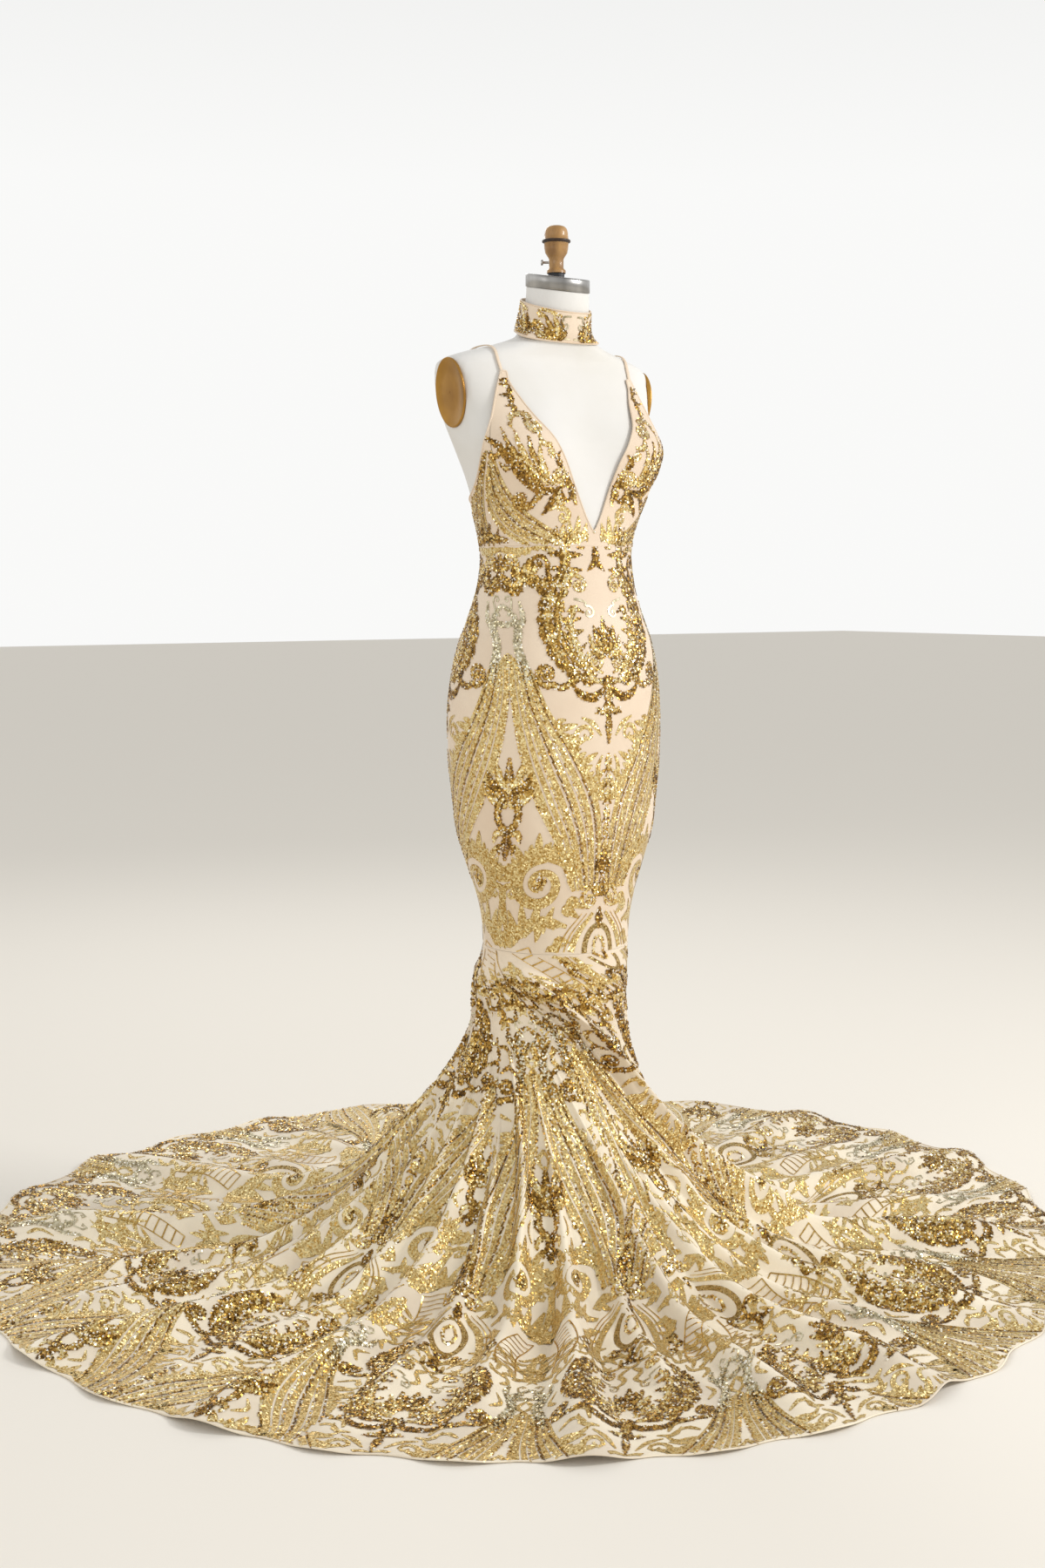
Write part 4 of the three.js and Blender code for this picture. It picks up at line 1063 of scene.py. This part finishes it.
def place(chart, drawn):
    """Position, outward direction and whether it is on the cloth, for each drawn point."""
    x, y = drawn[:, 0], drawn[:, 1]
    last = len(chart["y"]) - 1
    row = np.interp(y, chart["y"], np.arange(last + 1))
    low = np.minimum(row.astype(int), last - 1)
    share = row - low
    column = np.zeros_like(x)
    columns = np.arange(chart["x"].shape[1])
    inside = (y >= chart["y"][0]) & (y <= chart["y"][-1])
    for j in np.unique(low):
        chosen = np.nonzero(low == j)[0]
        ends = [np.interp(x[chosen], chart["x"][k], columns) for k in (j, j + 1)]
        column[chosen] = ends[0] + (ends[1] - ends[0]) * share[chosen]
    inside &= (column > 0.02) & (column < len(columns) - 1.02)
    if "bottom" in chart:
        inside &= y < chart["bottom"]
    if chart["top"] is not None:
        inside &= y > np.interp(column, columns, chart["top"])
    left = np.minimum(column.astype(int), len(columns) - 2)
    aside = (column - left)[:, None]
    down = share[:, None]
    found = []
    for grid in (chart["points"], chart["normals"]):
        high = grid[low, left] * (1 - aside) + grid[low, left + 1] * aside
        under = grid[low + 1, left] * (1 - aside) + grid[low + 1, left + 1] * aside
        found.append(high * (1 - down) + under * down)
    return found[0], unit(found[1]), inside


def body_chart():
    """The fitted part of the gown, as far up as its bound edge."""
    angles = np.arange(-180, 180.1, BODY_COLUMN_STEP)
    heights = np.arange(1430, KNEE_Z - 1, -5.0)
    points = body_point(angles[None, :], heights[:, None])
    top = WAIST_Z - neckline(angles) + BOUND_EDGE
    return make_chart(points, WAIST_Z - heights, top)


def gore_chart(number):
    """One gore of the train, with its middle line straight down the cloth."""
    per_gore = TRAIN_COLUMNS // TRAIN_GORES
    columns = (np.arange(per_gore + 1) + number * per_gore) % TRAIN_COLUMNS
    points = TRAIN[:, columns]
    length = np.linalg.norm(np.diff(points, axis=0), axis=2).mean(axis=1)
    y = CLOTH_BELOW_KNEE + np.concatenate([[0], np.cumsum(length)])
    chart = make_chart(points, y)
    middle = points[0, per_gore // 2]
    edge = body_point(np.arange(-180, 180.1, 0.5), KNEE_Z)
    round_body = make_chart(np.stack([edge, edge]), [0, 1])["x"][0]
    nearest = np.argmin(np.linalg.norm(edge - middle, axis=1))
    below_knee = (y - CLOTH_BELOW_KNEE)[:, None]
    chart["x"] = chart["x"] + round_body[nearest] + GORE_SLANT[number] * below_knee
    chart["y"] = CLOTH_BELOW_KNEE + below_knee[:, 0] * GORE_STRETCH[number]
    return chart


def moved(strokes, mirror=1, across=0.0, down=0.0):
    made = []
    for one in strokes:
        line = one["line"] * (mirror, 1) + (across, down)
        made.append({**one, "line": line})
    return made


def cover(strokes, low, high, spacing):
    """Sequins of a patch of cloth: places on a honeycomb inside the strokes, and their tones."""
    places = []
    for j, y in enumerate(np.arange(low[1], high[1], spacing * HONEYCOMB)):
        x = np.arange(low[0] + spacing * (0.25 + 0.5 * (j % 2)), high[0], spacing)
        places.append(np.stack([x, np.full(len(x), y)], axis=1))
    places = np.vstack(places)
    tones = np.full(len(places), -1)
    for one in strokes:
        line, width = one["line"], one["width"]
        reach = width.max() / 2
        near = np.all((places > line.min(0) - reach) & (places < line.max(0) + reach), axis=1)
        near = np.nonzero(near)[0]
        if one["kind"] != "sequin" or len(near) == 0:
            continue
        start, step = line[:-1], np.diff(line, axis=0)
        offset = places[near][:, None] - start[None]
        along = np.clip((offset * step).sum(2) / np.maximum((step**2).sum(1), 1e-9), 0, 1)
        distance = np.linalg.norm(offset - along[..., None] * step, axis=2)
        half = (width[:-1] + np.diff(width) * along) / 2
        depth = (1 - distance / np.maximum(half, 1e-6)).max(axis=1)
        tones[near] = np.where(depth > EDGE_DEPTH, one["tone"], tones[near])
        edge = (depth > 0) & (depth <= EDGE_DEPTH)
        tones[near] = np.where(edge, EDGE_TONE[one["tone"]], tones[near])
    kept = tones >= 0
    return places[kept], tones[kept]


def sequin_repeat(strokes, spacing):
    """Sequins of one half of the repeat, with all the strokes that reach into it."""
    near = []
    for down in (-REPEAT, 0, REPEAT):
        near += moved(strokes, 1, 0, down)
        near += moved(strokes, -1, 0, down)
        near += moved(strokes, -1, 2 * HALF_REPEAT, down)
    return cover(near, *HALF_AREA, spacing)


def copies(width, y_low, y_high):
    """Mirror, shift across and shift down of each half repeat that reaches the cloth."""
    across = math.ceil(width / (2 * HALF_REPEAT))
    for k in range(-across, across + 1):
        for mirror in (1, -1):
            for row in range(math.floor(y_low / REPEAT), math.floor(y_high / REPEAT) + 1):
                yield mirror, 2 * HALF_REPEAT * k, REPEAT * row


def sequin_mesh(name, places, normals, tones, radius, sides, random):
    """Small flat discs, each tilted a little its own way."""
    count = len(places)
    helper = np.where(np.abs(normals[:, [2]]) < 0.9, [[0, 0, 1.0]], [[1.0, 0, 0]])
    first = unit(np.cross(normals, helper))
    second = np.cross(normals, first)
    tilt = random.normal(0, SEQUIN_TILT, (count, 2)).clip(-SEQUIN_TILT_MOST, SEQUIN_TILT_MOST)
    facing = unit(normals + first * tilt[:, [0]] + second * tilt[:, [1]])
    first = unit(np.cross(facing, second))
    second = np.cross(facing, first)
    turn = random.uniform(0, 2 * math.pi, count)[:, None] + np.arange(sides) * 2 * math.pi / sides
    middle = places + normals * SEQUIN_LIFT
    corners = middle[:, None] + radius * (
        np.cos(turn)[..., None] * first[:, None] + np.sin(turn)[..., None] * second[:, None])
    shift = random.uniform(0, 1, count)
    darker = (shift < SHARE_DARKER) & (tones < SILVER)
    tones = np.where(darker, np.maximum(tones - 1, DARK), tones)
    tones = np.where((shift > SHARE_PLAIN) & (tones < BRIGHT), tones + 1, tones)
    # Painted highlight: the last share of sequins takes a near-white colour that stands for a
    # glint.
    tones = np.where(shift > SHARE_DULL, PAINTED_GLINT, tones)
    keys = ("sequin_dark", "sequin_gold", "sequin_bright", "sequin_silver", "sequin_painted_glint")
    materials = [MATERIALS[key] for key in keys]
    piece = new_mesh(name, corners, np.arange(count * sides), sides, materials, tones, smooth=False)
    return finish_piece(piece, "gown_lace")


def ribbon_mesh(name, chart, strokes, kind, step, lift):
    """Flat strips that follow the strokes over the cloth, in one mesh."""
    points, faces, indices = [], [], []
    count = 0
    for one in strokes:
        if one["kind"] != kind:
            continue
        length = np.linalg.norm(np.diff(one["line"], axis=0), axis=1).sum()
        share = np.linspace(0, 1, max(3, int(length / step) + 1))
        old = np.linspace(0, 1, len(one["line"]))
        line = line_at(one["line"], old, share)
        half = np.interp(share, old, one["width"])[:, None] / 2
        along = unit(np.gradient(line, axis=0))
        across = np.stack([-along[:, 1], along[:, 0]], axis=1)
        lanes = (-1, 0, 1) if one["width"].max() > WIDE_RIBBON else (-1, 1)
        drawn = np.stack([line + across * half * lane for lane in lanes], axis=1).reshape(-1, 2)
        position, normal, inside = place(chart, drawn)
        strip = grid_faces(len(line), len(lanes), False)
        strip = strip[inside[strip].all(axis=1)]
        points.append(position + normal * lift)
        faces.append(strip + count)
        indices.append(np.full(len(strip), one["tone"]))
        count += len(position)
    if not faces:
        return None
    points = np.vstack(points)
    used, faces = np.unique(np.vstack(faces), return_inverse=True)
    faces = faces.reshape(-1, 4)
    keys = {
        "glitter": ("glitter_gold", "glitter_gold", "glitter_gold", "glitter_silver"),
        "bead": ("sequin_dark", "sequin_gold", "sequin_bright", "sequin_silver"),
    }[kind]
    materials = [MATERIALS[key] for key in keys]
    piece = new_mesh(name, points[used], faces, 4, materials, np.concatenate(indices))
    return finish_piece(piece, "gown_lace")


def ornament(name, chart, strokes, sequins, size, random):
    """Sequins, glitter bands and bead lines of one stretch of cloth."""
    places, tones = sequins
    position, normal, inside = place(chart, places)
    sequin_mesh(f"{name}_sequins", position[inside], normal[inside], tones[inside],
                SEQUIN_RADIUS[size], SEQUIN_SIDES[size], random)
    ribbon_mesh(f"{name}_glitter", chart, strokes, "glitter", RIBBON_STEP[size], RIBBON_LIFT)
    ribbon_mesh(f"{name}_beads", chart, strokes, "bead", RIBBON_STEP[size], BEAD_LIFT)


def repeated(places, tones, strokes, width, y_low, y_high):
    """The repeat, mirrored and moved to fill a stretch of cloth."""
    all_places, all_tones, all_strokes = [], [], []
    for mirror, across, down in copies(width, y_low, y_high):
        shifted = places * (mirror, 1) + (across, down)
        kept = (np.abs(shifted[:, 0]) < width) & (shifted[:, 1] > y_low) & (shifted[:, 1] < y_high)
        all_places.append(shifted[kept])
        all_tones.append(tones[kept])
        all_strokes += moved(strokes, mirror, across, down)
    return np.vstack(all_places), np.concatenate(all_tones), all_strokes


def body_ornament(random):
    strokes = repeat_strokes()
    chart = body_chart()
    places, tones = sequin_repeat(strokes, SEQUIN_SPACING["body"])
    width = np.abs(chart["x"]).max()
    *sequins, lines = repeated(places, tones, strokes, width, 0, CLOTH_BELOW_KNEE)
    skirt_chart = {**chart, "top": np.zeros(chart["x"].shape[1])}
    ornament("skirt", skirt_chart, lines, sequins, "body", random)
    half = bodice_strokes()
    both = half + moved(half, -1)
    bodice = cover(both, (-width, BODICE_TOP), (width, 0), SEQUIN_SPACING["body"])
    ornament("bodice", {**chart, "bottom": -SEAM_BARE}, both, bodice, "body", random)


def train_ornament(random):
    strokes = repeat_strokes(waist=False)
    tones = GOLD, BRIGHT, DARK
    leaves = fill_leaves(strokes, "sequin", *FLARE_LEAVES, length=34, width=7.5, tones=tones)
    flare = sequin_repeat(leaves, SEQUIN_SPACING["train"])
    strokes += fill_leaves(strokes, "glitter", *HALF_AREA, length=38, width=8, tones=(GOLD,))
    strokes += fill_leaves(strokes, "sequin", *HALF_AREA, length=24, width=6, tones=(BRIGHT, GOLD))
    places, tones = sequin_repeat(strokes, SEQUIN_SPACING["train"])
    for number in range(TRAIN_GORES):
        gore = gore_chart(number)
        width, top, low = np.abs(gore["x"]).max(), gore["y"][0], gore["y"][-1]
        filled = repeated(places, tones, strokes, width, top, low)
        extra = repeated(*flare, [], width, top, REPEAT + FLARE_LEAVES[1][1])
        spots = np.vstack([filled[0], extra[0]])
        spot_tones = np.concatenate([filled[1], extra[1]])
        darker = random.uniform(0, DARK_BELOW_KNEE, len(spots)) > spots[:, 1] - CLOTH_BELOW_KNEE
        spot_tones = np.where(darker, DARKER[spot_tones], spot_tones)
        ornament(f"train_{number + 1}", gore, filled[2], (spots, spot_tones), "train", random)


def choker_ornament(random):
    half = choker_strokes()
    both = half + moved(half, -1)
    chart = choker_chart()
    width = np.abs(chart["x"]).max()
    low, high = (-width, CHOKER_BARE), (width, CHOKER_HEIGHT - CHOKER_BARE)
    collar = cover(both, low, high, SEQUIN_SPACING["choker"])
    ornament("choker", chart, both, collar, "choker", random)


def make_ornament():
    random = np.random.default_rng(SEED)
    body_ornament(random)
    train_ornament(random)
    choker_ornament(random)


# Choker, straps, bound edges and hem

CHOKER_HEIGHT = 53.0
CHOKER_LOW_Z = 1490.0
CHOKER_TILT = 0.33
CHOKER_GAP = 1.5
CHOKER_EASE = {"angle": -126, "spread": 70, "gap": 4}
CHOKER_COLUMN_STEP = 3
CHOKER_ROWS = 14
CHOKER_EDGE_RADIUS = 1.2
CHOKER_EDGE_IN = 0.8
BINDING_RADIUS = 1.7
BINDING_SUNK = 0.6
HEM_RADIUS = 1.3
HEM_DRAWN_IN = 0.9985
SEAM_RADIUS = 0.55
SEAM_SUNK = 0.2
STRAP_FLATNESS = 0.36
TUBE_SIDES = 8
BEAD_RADIUS = 2.4


def choker_point(angle, rise, out):
    """A point of the choker, whose edges slope down to the front more than the neck's top."""
    angle, rise = np.broadcast_arrays(np.asarray(angle, float), np.asarray(rise, float))
    aside = angle_between(angle, CHOKER_EASE["angle"])
    ease = CHOKER_EASE["gap"] * bell(aside, CHOKER_EASE["spread"])
    inset = CLOTH + FORM_GAP - CHOKER_GAP - ease - out
    z = CHOKER_LOW_Z + rise
    # Each round moves the height most of the way to where the sloping edge wants it.
    for _ in range(12):
        point = form_point(angle, z, inset)
        z = z + 0.7 * (CHOKER_LOW_Z + rise + CHOKER_TILT * point[..., 1] - point[..., 2])
    return form_point(angle, z, inset)


def choker_chart():
    angles = np.arange(-180, 180.1, CHOKER_COLUMN_STEP)
    down = np.linspace(0, CHOKER_HEIGHT, CHOKER_ROWS)
    return make_chart(choker_point(angles[None, :], CHOKER_HEIGHT - down[:, None], CLOTH), down)


def tube(name, line, radius, closed, material, slot_name="gown_lace", flat=1.0, outward=None):
    """A round or flattened cord along a line of points."""
    line = np.asarray(line, float)
    if closed:
        along = np.roll(line, -1, axis=0) - np.roll(line, 1, axis=0)
    else:
        along = np.gradient(line, axis=0)
    along = unit(along)
    if outward is None:
        outward = np.tile([0.0, 0.0, 1.0], (len(line), 1))
    side = unit(np.cross(along, outward))
    lift = np.cross(side, along)
    turn = np.arange(TUBE_SIDES) * 2 * math.pi / TUBE_SIDES
    turn = turn[None, :, None]
    rings = line[:, None] + radius * (
        np.cos(turn) * side[:, None] + flat * np.sin(turn) * lift[:, None])
    if closed:
        rings = np.concatenate([rings, rings[:1]])
    piece = grid_mesh(name, rings, True, material)
    return finish_piece(piece, slot_name)


def shoulder_line():
    """Middle line of the left strap, over the shoulder, with the outward direction there."""
    apex = body_point(STRAP["angle"], neckline(STRAP["angle"]))
    back = body_point(STRAP_BACK_ANGLE, neckline(STRAP_BACK_ANGLE))

    def ray_to(end, above):
        ray = math.atan2(end[2] + above - STRAP["z"], STRAP["y"] - end[1])
        return ray + 2 * math.pi if ray < 0 else ray

    share = np.linspace(0, 1, STRAP_ROWS)
    first, last = ray_to(apex, STRAP["front"]), ray_to(back, STRAP["back"])
    rays = first + (last - first) * share
    x = apex[0] + (back[0] - apex[0]) * smooth_step(share)
    x = x + STRAP["bulge"] * np.sin(share * math.pi)
    direction = np.stack([0 * rays, -np.cos(rays), np.sin(rays)], axis=1)
    # The form's surface along each ray, found by halving the span that holds it.
    near, far = np.zeros(STRAP_ROWS), np.full(STRAP_ROWS, STRAP_REACH)
    for _ in range(30):
        middle = (near + far) / 2
        y = STRAP["y"] + direction[:, 1] * middle
        z = STRAP["z"] + direction[:, 2] * middle
        lean = section("lean", z)
        angle = np.degrees(np.arctan2(x, lean - y))
        inset = (CLOTH + FORM_GAP) * slant(angle, z, "form")
        inside = np.hypot(x, y - lean) < body_radius(angle, z, "form") - inset
        near = np.where(inside, middle, near)
        far = np.where(inside, far, middle)
    reach = near + STRAP_GAP + CLOTH / 2
    y = STRAP["y"] + direction[:, 1] * reach
    z = STRAP["z"] + direction[:, 2] * reach
    return np.stack([x, y, z], axis=1), direction


def make_trim():
    cloth = MATERIALS["binding"]
    points = choker_chart()["points"][:, :-1]
    choker = grid_mesh("choker_cloth", points, True, MATERIALS["cloth"], flip=True)
    finish_piece(choker, "gown_lace", "choker")
    angles = np.arange(-180, 180, CHOKER_COLUMN_STEP)
    for rise in (CHOKER_EDGE_IN, CHOKER_HEIGHT - CHOKER_EDGE_IN):
        edge = choker_point(angles, rise, CLOTH)
        tube(f"choker_edge_{int(rise)}", edge, CHOKER_EDGE_RADIUS, True, cloth)
    line, outward = shoulder_line()
    for side, name in ((1, "left"), (-1, "right")):
        mirror = (side, 1, 1)
        strap = tube(f"strap_cord_{name}", line * mirror, STRAP["width"] / 2, False, cloth,
                     flat=STRAP_FLATNESS, outward=outward * mirror)
        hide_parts(f"strap_{name}")
    edge = body_point(BODICE_ANGLES, neckline(BODICE_ANGLES), BINDING_SUNK)
    tube("neck_binding", edge, BINDING_RADIUS, True, cloth)
    drop = body_point(0.0, neckline(0.0) - BINDING_RADIUS)
    outline = [(math.sin(t), -math.cos(t)) for t in np.linspace(0, math.pi, 9)]
    bead = BEAD_RADIUS * lathe(outline, BEAD_SIDES)
    finish_piece(grid_mesh("neck_bead", bead + drop, True, MATERIALS["sequin_silver"]), "gown_lace")
    waist = np.arange(-180, 180, BODY_COLUMN_STEP)
    tube("waist_seam", body_point(waist, WAIST_Z, SEAM_SUNK), SEAM_RADIUS, True, cloth)
    hem = TRAIN[-1] * (1, 1, 0) + (0, 0, HEM_RADIUS)
    hem = hem + (0, 0, 1) * np.maximum(0, TRAIN[-1][:, [2]] - HEM_RADIUS)
    tube("hem_roll", hem * (HEM_DRAWN_IN, HEM_DRAWN_IN, 1), HEM_RADIUS, True, MATERIALS["cloth"])


# The dress form

FORM_EDGE = 8.0
ARM_PLATE = {"x": 186, "y": 24, "z": 1391, "tilt": 0.12, "half_width": 41, "half_height": 56}


def make_form():
    inset = CLOTH + FORM_GAP
    heights = np.concatenate([
        np.linspace(FORM_BOTTOM_Z, FORM_BOTTOM_Z + FORM_EDGE, 5),
        np.arange(720, 1420, 10),
        np.arange(1420, NECK_BASE_Z + 20, 3),
        np.linspace(NECK_BASE_Z + 24, NECK_TOP_Z, 10),
    ])
    angles = np.arange(-180, 180, 3)
    rings = []
    for z in heights:
        below = max(0, FORM_BOTTOM_Z + FORM_EDGE - z)
        rounding = FORM_EDGE - math.sqrt(max(0, FORM_EDGE**2 - below**2))
        rings.append(form_point(angles, np.full(len(angles), z), inset + rounding))
    points = np.array(rings)
    limit = ARM_PLATE["x"] + ARM_PLATE["tilt"] * (points[..., 2] - ARM_PLATE["z"])
    points[..., 0] = np.sign(points[..., 0]) * np.minimum(np.abs(points[..., 0]), limit)
    torso = grid_mesh("form_cover", points, True, MATERIALS["linen"])
    finish_piece(torso, "form_linen", "form_torso")


# Profile of the knob: radius and height above its foot.
KNOB_PROFILE = (
    (15.5, 0), (15.5, 4.6), (14.6, 5.6), (12, 8.5), (12, 23), (14, 27), (18, 33), (19.6, 41),
    (20, 49.5), (23, 50.8), (23.5, 52), (23.5, 53.4), (23, 54.4), (20, 56), (19.4, 62), (19, 67),
    (17.8, 71.5), (16.5, 74), (13.5, 76.6), (9, 78), (0, 78.2),
)
KNOB_RING = (49, 55)
KNOB_PLACE = (0.0, -4.0, 1593.9)
CAP_HEIGHT = 22.0
CAP_OVERHANG = 1.5
SCREW_PROFILE = ((2, 0), (2, 9), (4.2, 9.6), (4.7, 10.2), (4.7, 12.6), (4.2, 13), (0, 13))
SCREW_RISE = 18.0
SCREW_ANGLE = -126.0
SCREW_START = 12.3
# Share of the arm plate's half size, and distance out, from behind over the rim to the front.
PLATE_PROFILE = (
    (0.02, 0.2), (1, 0), (1, 3), (0.985, 3.7), (0.955, 4), (0.93, 3.1), (0.5, 3.1), (0.02, 3.1),
)
PLATE_SIDES = 64
LATHE_SIDES = 40
SCREW_SIDES = 24
BEAD_SIDES = 16


def lathe(profile, sides=LATHE_SIDES):
    """Rings of points round the z axis."""
    turn = np.arange(sides) * 2 * math.pi / sides
    rows = np.array(profile, float)
    x = rows[:, :1] * np.cos(turn)
    y = rows[:, :1] * np.sin(turn)
    return np.stack([x, y, np.broadcast_to(rows[:, 1:], x.shape)], axis=-1)


def make_knob():
    points = lathe(KNOB_PROFILE) + KNOB_PLACE
    knob = grid_mesh("knob_turned", points, True, MATERIALS["wood"])
    knob.data.materials.append(MATERIALS["ring"])
    heights = np.array(KNOB_PROFILE)[:, 1]
    rise = np.repeat((heights[:-1] + heights[1:]) / 2, LATHE_SIDES)
    dark = ((rise > KNOB_RING[0]) & (rise < KNOB_RING[1])).astype(np.int32)
    knob.data.polygons.foreach_set("material_index", dark)
    finish_piece(knob, "knob_wood", "form_knob")
    screw = lathe(SCREW_PROFILE, SCREW_SIDES)
    out = np.array([math.sin(math.radians(SCREW_ANGLE)), -math.cos(math.radians(SCREW_ANGLE)), 0])
    aside = np.array([-out[1], out[0], 0])
    points = screw[..., 2:] * out + screw[..., :1] * aside + screw[..., 1:2] * (0, 0, 1)
    points = points + KNOB_PLACE + (0, 0, SCREW_RISE) + out * SCREW_START
    piece = grid_mesh("thumbscrew_turned", points, True, MATERIALS["steel"])
    finish_piece(piece, "neck_steel", "form_thumbscrew")


def make_cap():
    angles = np.arange(-180, 180, 4)
    inset = CLOTH + FORM_GAP
    low = NECK_TOP_Z + SEAM_GAP
    rows = ((0, 40), (0, 0.4), (0.5, -CAP_OVERHANG), (CAP_HEIGHT - 2, -CAP_OVERHANG),
            (CAP_HEIGHT - 0.6, -CAP_OVERHANG + 0.6), (CAP_HEIGHT, 0.6), (CAP_HEIGHT, 40))
    rings = [form_point(angles, np.full(len(angles), NECK_TOP_Z), inset + out)
             + (0, 0, low - NECK_TOP_Z + rise) for rise, out in rows]
    cap = grid_mesh("neck_cap", np.array(rings), True, MATERIALS["steel"])
    finish_piece(cap, "neck_steel", "form_neck_cap")


def make_plates():
    turn = np.arange(PLATE_SIDES) * 2 * math.pi / PLATE_SIDES
    for side, name in ((1, "left"), (-1, "right")):
        rings = []
        for scale, out in PLATE_PROFILE:
            rise = ARM_PLATE["half_height"] * scale * np.sin(turn)
            x = ARM_PLATE["x"] + ARM_PLATE["tilt"] * rise + SEAM_GAP + out
            y = ARM_PLATE["y"] + side * ARM_PLATE["half_width"] * scale * np.cos(turn)
            rings.append(np.stack([side * x, y, ARM_PLATE["z"] + rise], axis=-1))
        plate = grid_mesh(f"arm_plate_{name}", np.array(rings), True, MATERIALS["plate"], flip=True)
        finish_piece(plate, "arm_plate", f"form_arm_plate_{name}")


def dress_nodes():
    """Materials for the plain parts of the stand that keep their solid's mesh."""
    plain = {"form_knob_washer": "iron", "form_pole": "pole", "form_base": "iron"}
    for node, material in plain.items():
        mesh = bpy.data.objects[node].data
        mesh.materials.clear()
        mesh.materials.append(MATERIALS[material])


# Camera, floor and lights

def make_camera():
    camera = bpy.data.objects.new("camera", bpy.data.cameras.new("camera"))
    camera.location = CAMERA_PLACE
    camera.rotation_euler = (math.radians(90), 0, CAMERA_TURN)
    camera.data.lens = CAMERA_LENS
    camera.data.sensor_width = 36
    camera.data.shift_y = CAMERA_RISE
    camera.data.clip_end = 60
    bpy.context.scene.collection.objects.link(camera)
    bpy.context.scene.camera = camera


def make_stage():
    material = new_material("studio_floor", colour(242, 236, 226), roughness=0.8)
    size = 30000.0
    corners = [(-size, -size, 0), (size, -size, 0), (size, size, 0), (-size, size, 0)]
    floor = new_mesh("studio_floor", corners, [0, 1, 2, 3], 4, [material])


def area_light(name, place, target, size, power, tint=(1, 1, 1)):
    light = bpy.data.lights.new(name, "AREA")
    light.shape = "RECTANGLE"
    light.size, light.size_y = size
    light.energy = power
    light.color = tint
    lamp = bpy.data.objects.new(name, light)
    lamp.location = place
    lamp.rotation_euler = (Vector(target) - Vector(place)).to_track_quat("-Z", "Y").to_euler()
    bpy.context.scene.collection.objects.link(lamp)


# Brightness of the surroundings: pale all round, dimmer overhead.
SKY = ((0.2, (0.95, 0.95, 0.94, 1)), (0.8, (0.56, 0.56, 0.55, 1)))


def make_lights():
    world = bpy.data.worlds.new("studio")
    bpy.context.scene.world = world
    world.use_nodes = True
    nodes, links = world.node_tree.nodes, world.node_tree.links
    place = nodes.new("ShaderNodeTexCoord")
    split = nodes.new("ShaderNodeSeparateXYZ")
    ramp = nodes.new("ShaderNodeValToRGB")
    for element, (position, value) in zip(ramp.color_ramp.elements, SKY):
        element.position = position
        element.color = value
    links.new(place.outputs["Generated"], split.inputs["Vector"])
    links.new(split.outputs["Z"], ramp.inputs["Fac"])
    links.new(ramp.outputs["Color"], nodes["Background"].inputs["Color"])
    bpy.context.scene.view_settings.view_transform = "Standard"
    area_light("key_light", (2.6, -2.9, 2.9), (0, 0, 0.6), (1.0, 1.0), 95)
    area_light("fill_light", (-3.6, -1.2, 2.0), (0, 0, 0.7), (1.6, 1.6), 12)
    area_light("back_light", (1.0, 3.0, 3.0), (0, 0, 0.9), (1.6, 1.2), 22)


make_camera()
make_stage()
make_lights()
make_shells()
make_ornament()
make_trim()
make_form()
make_knob()
make_cap()
make_plates()
dress_nodes()
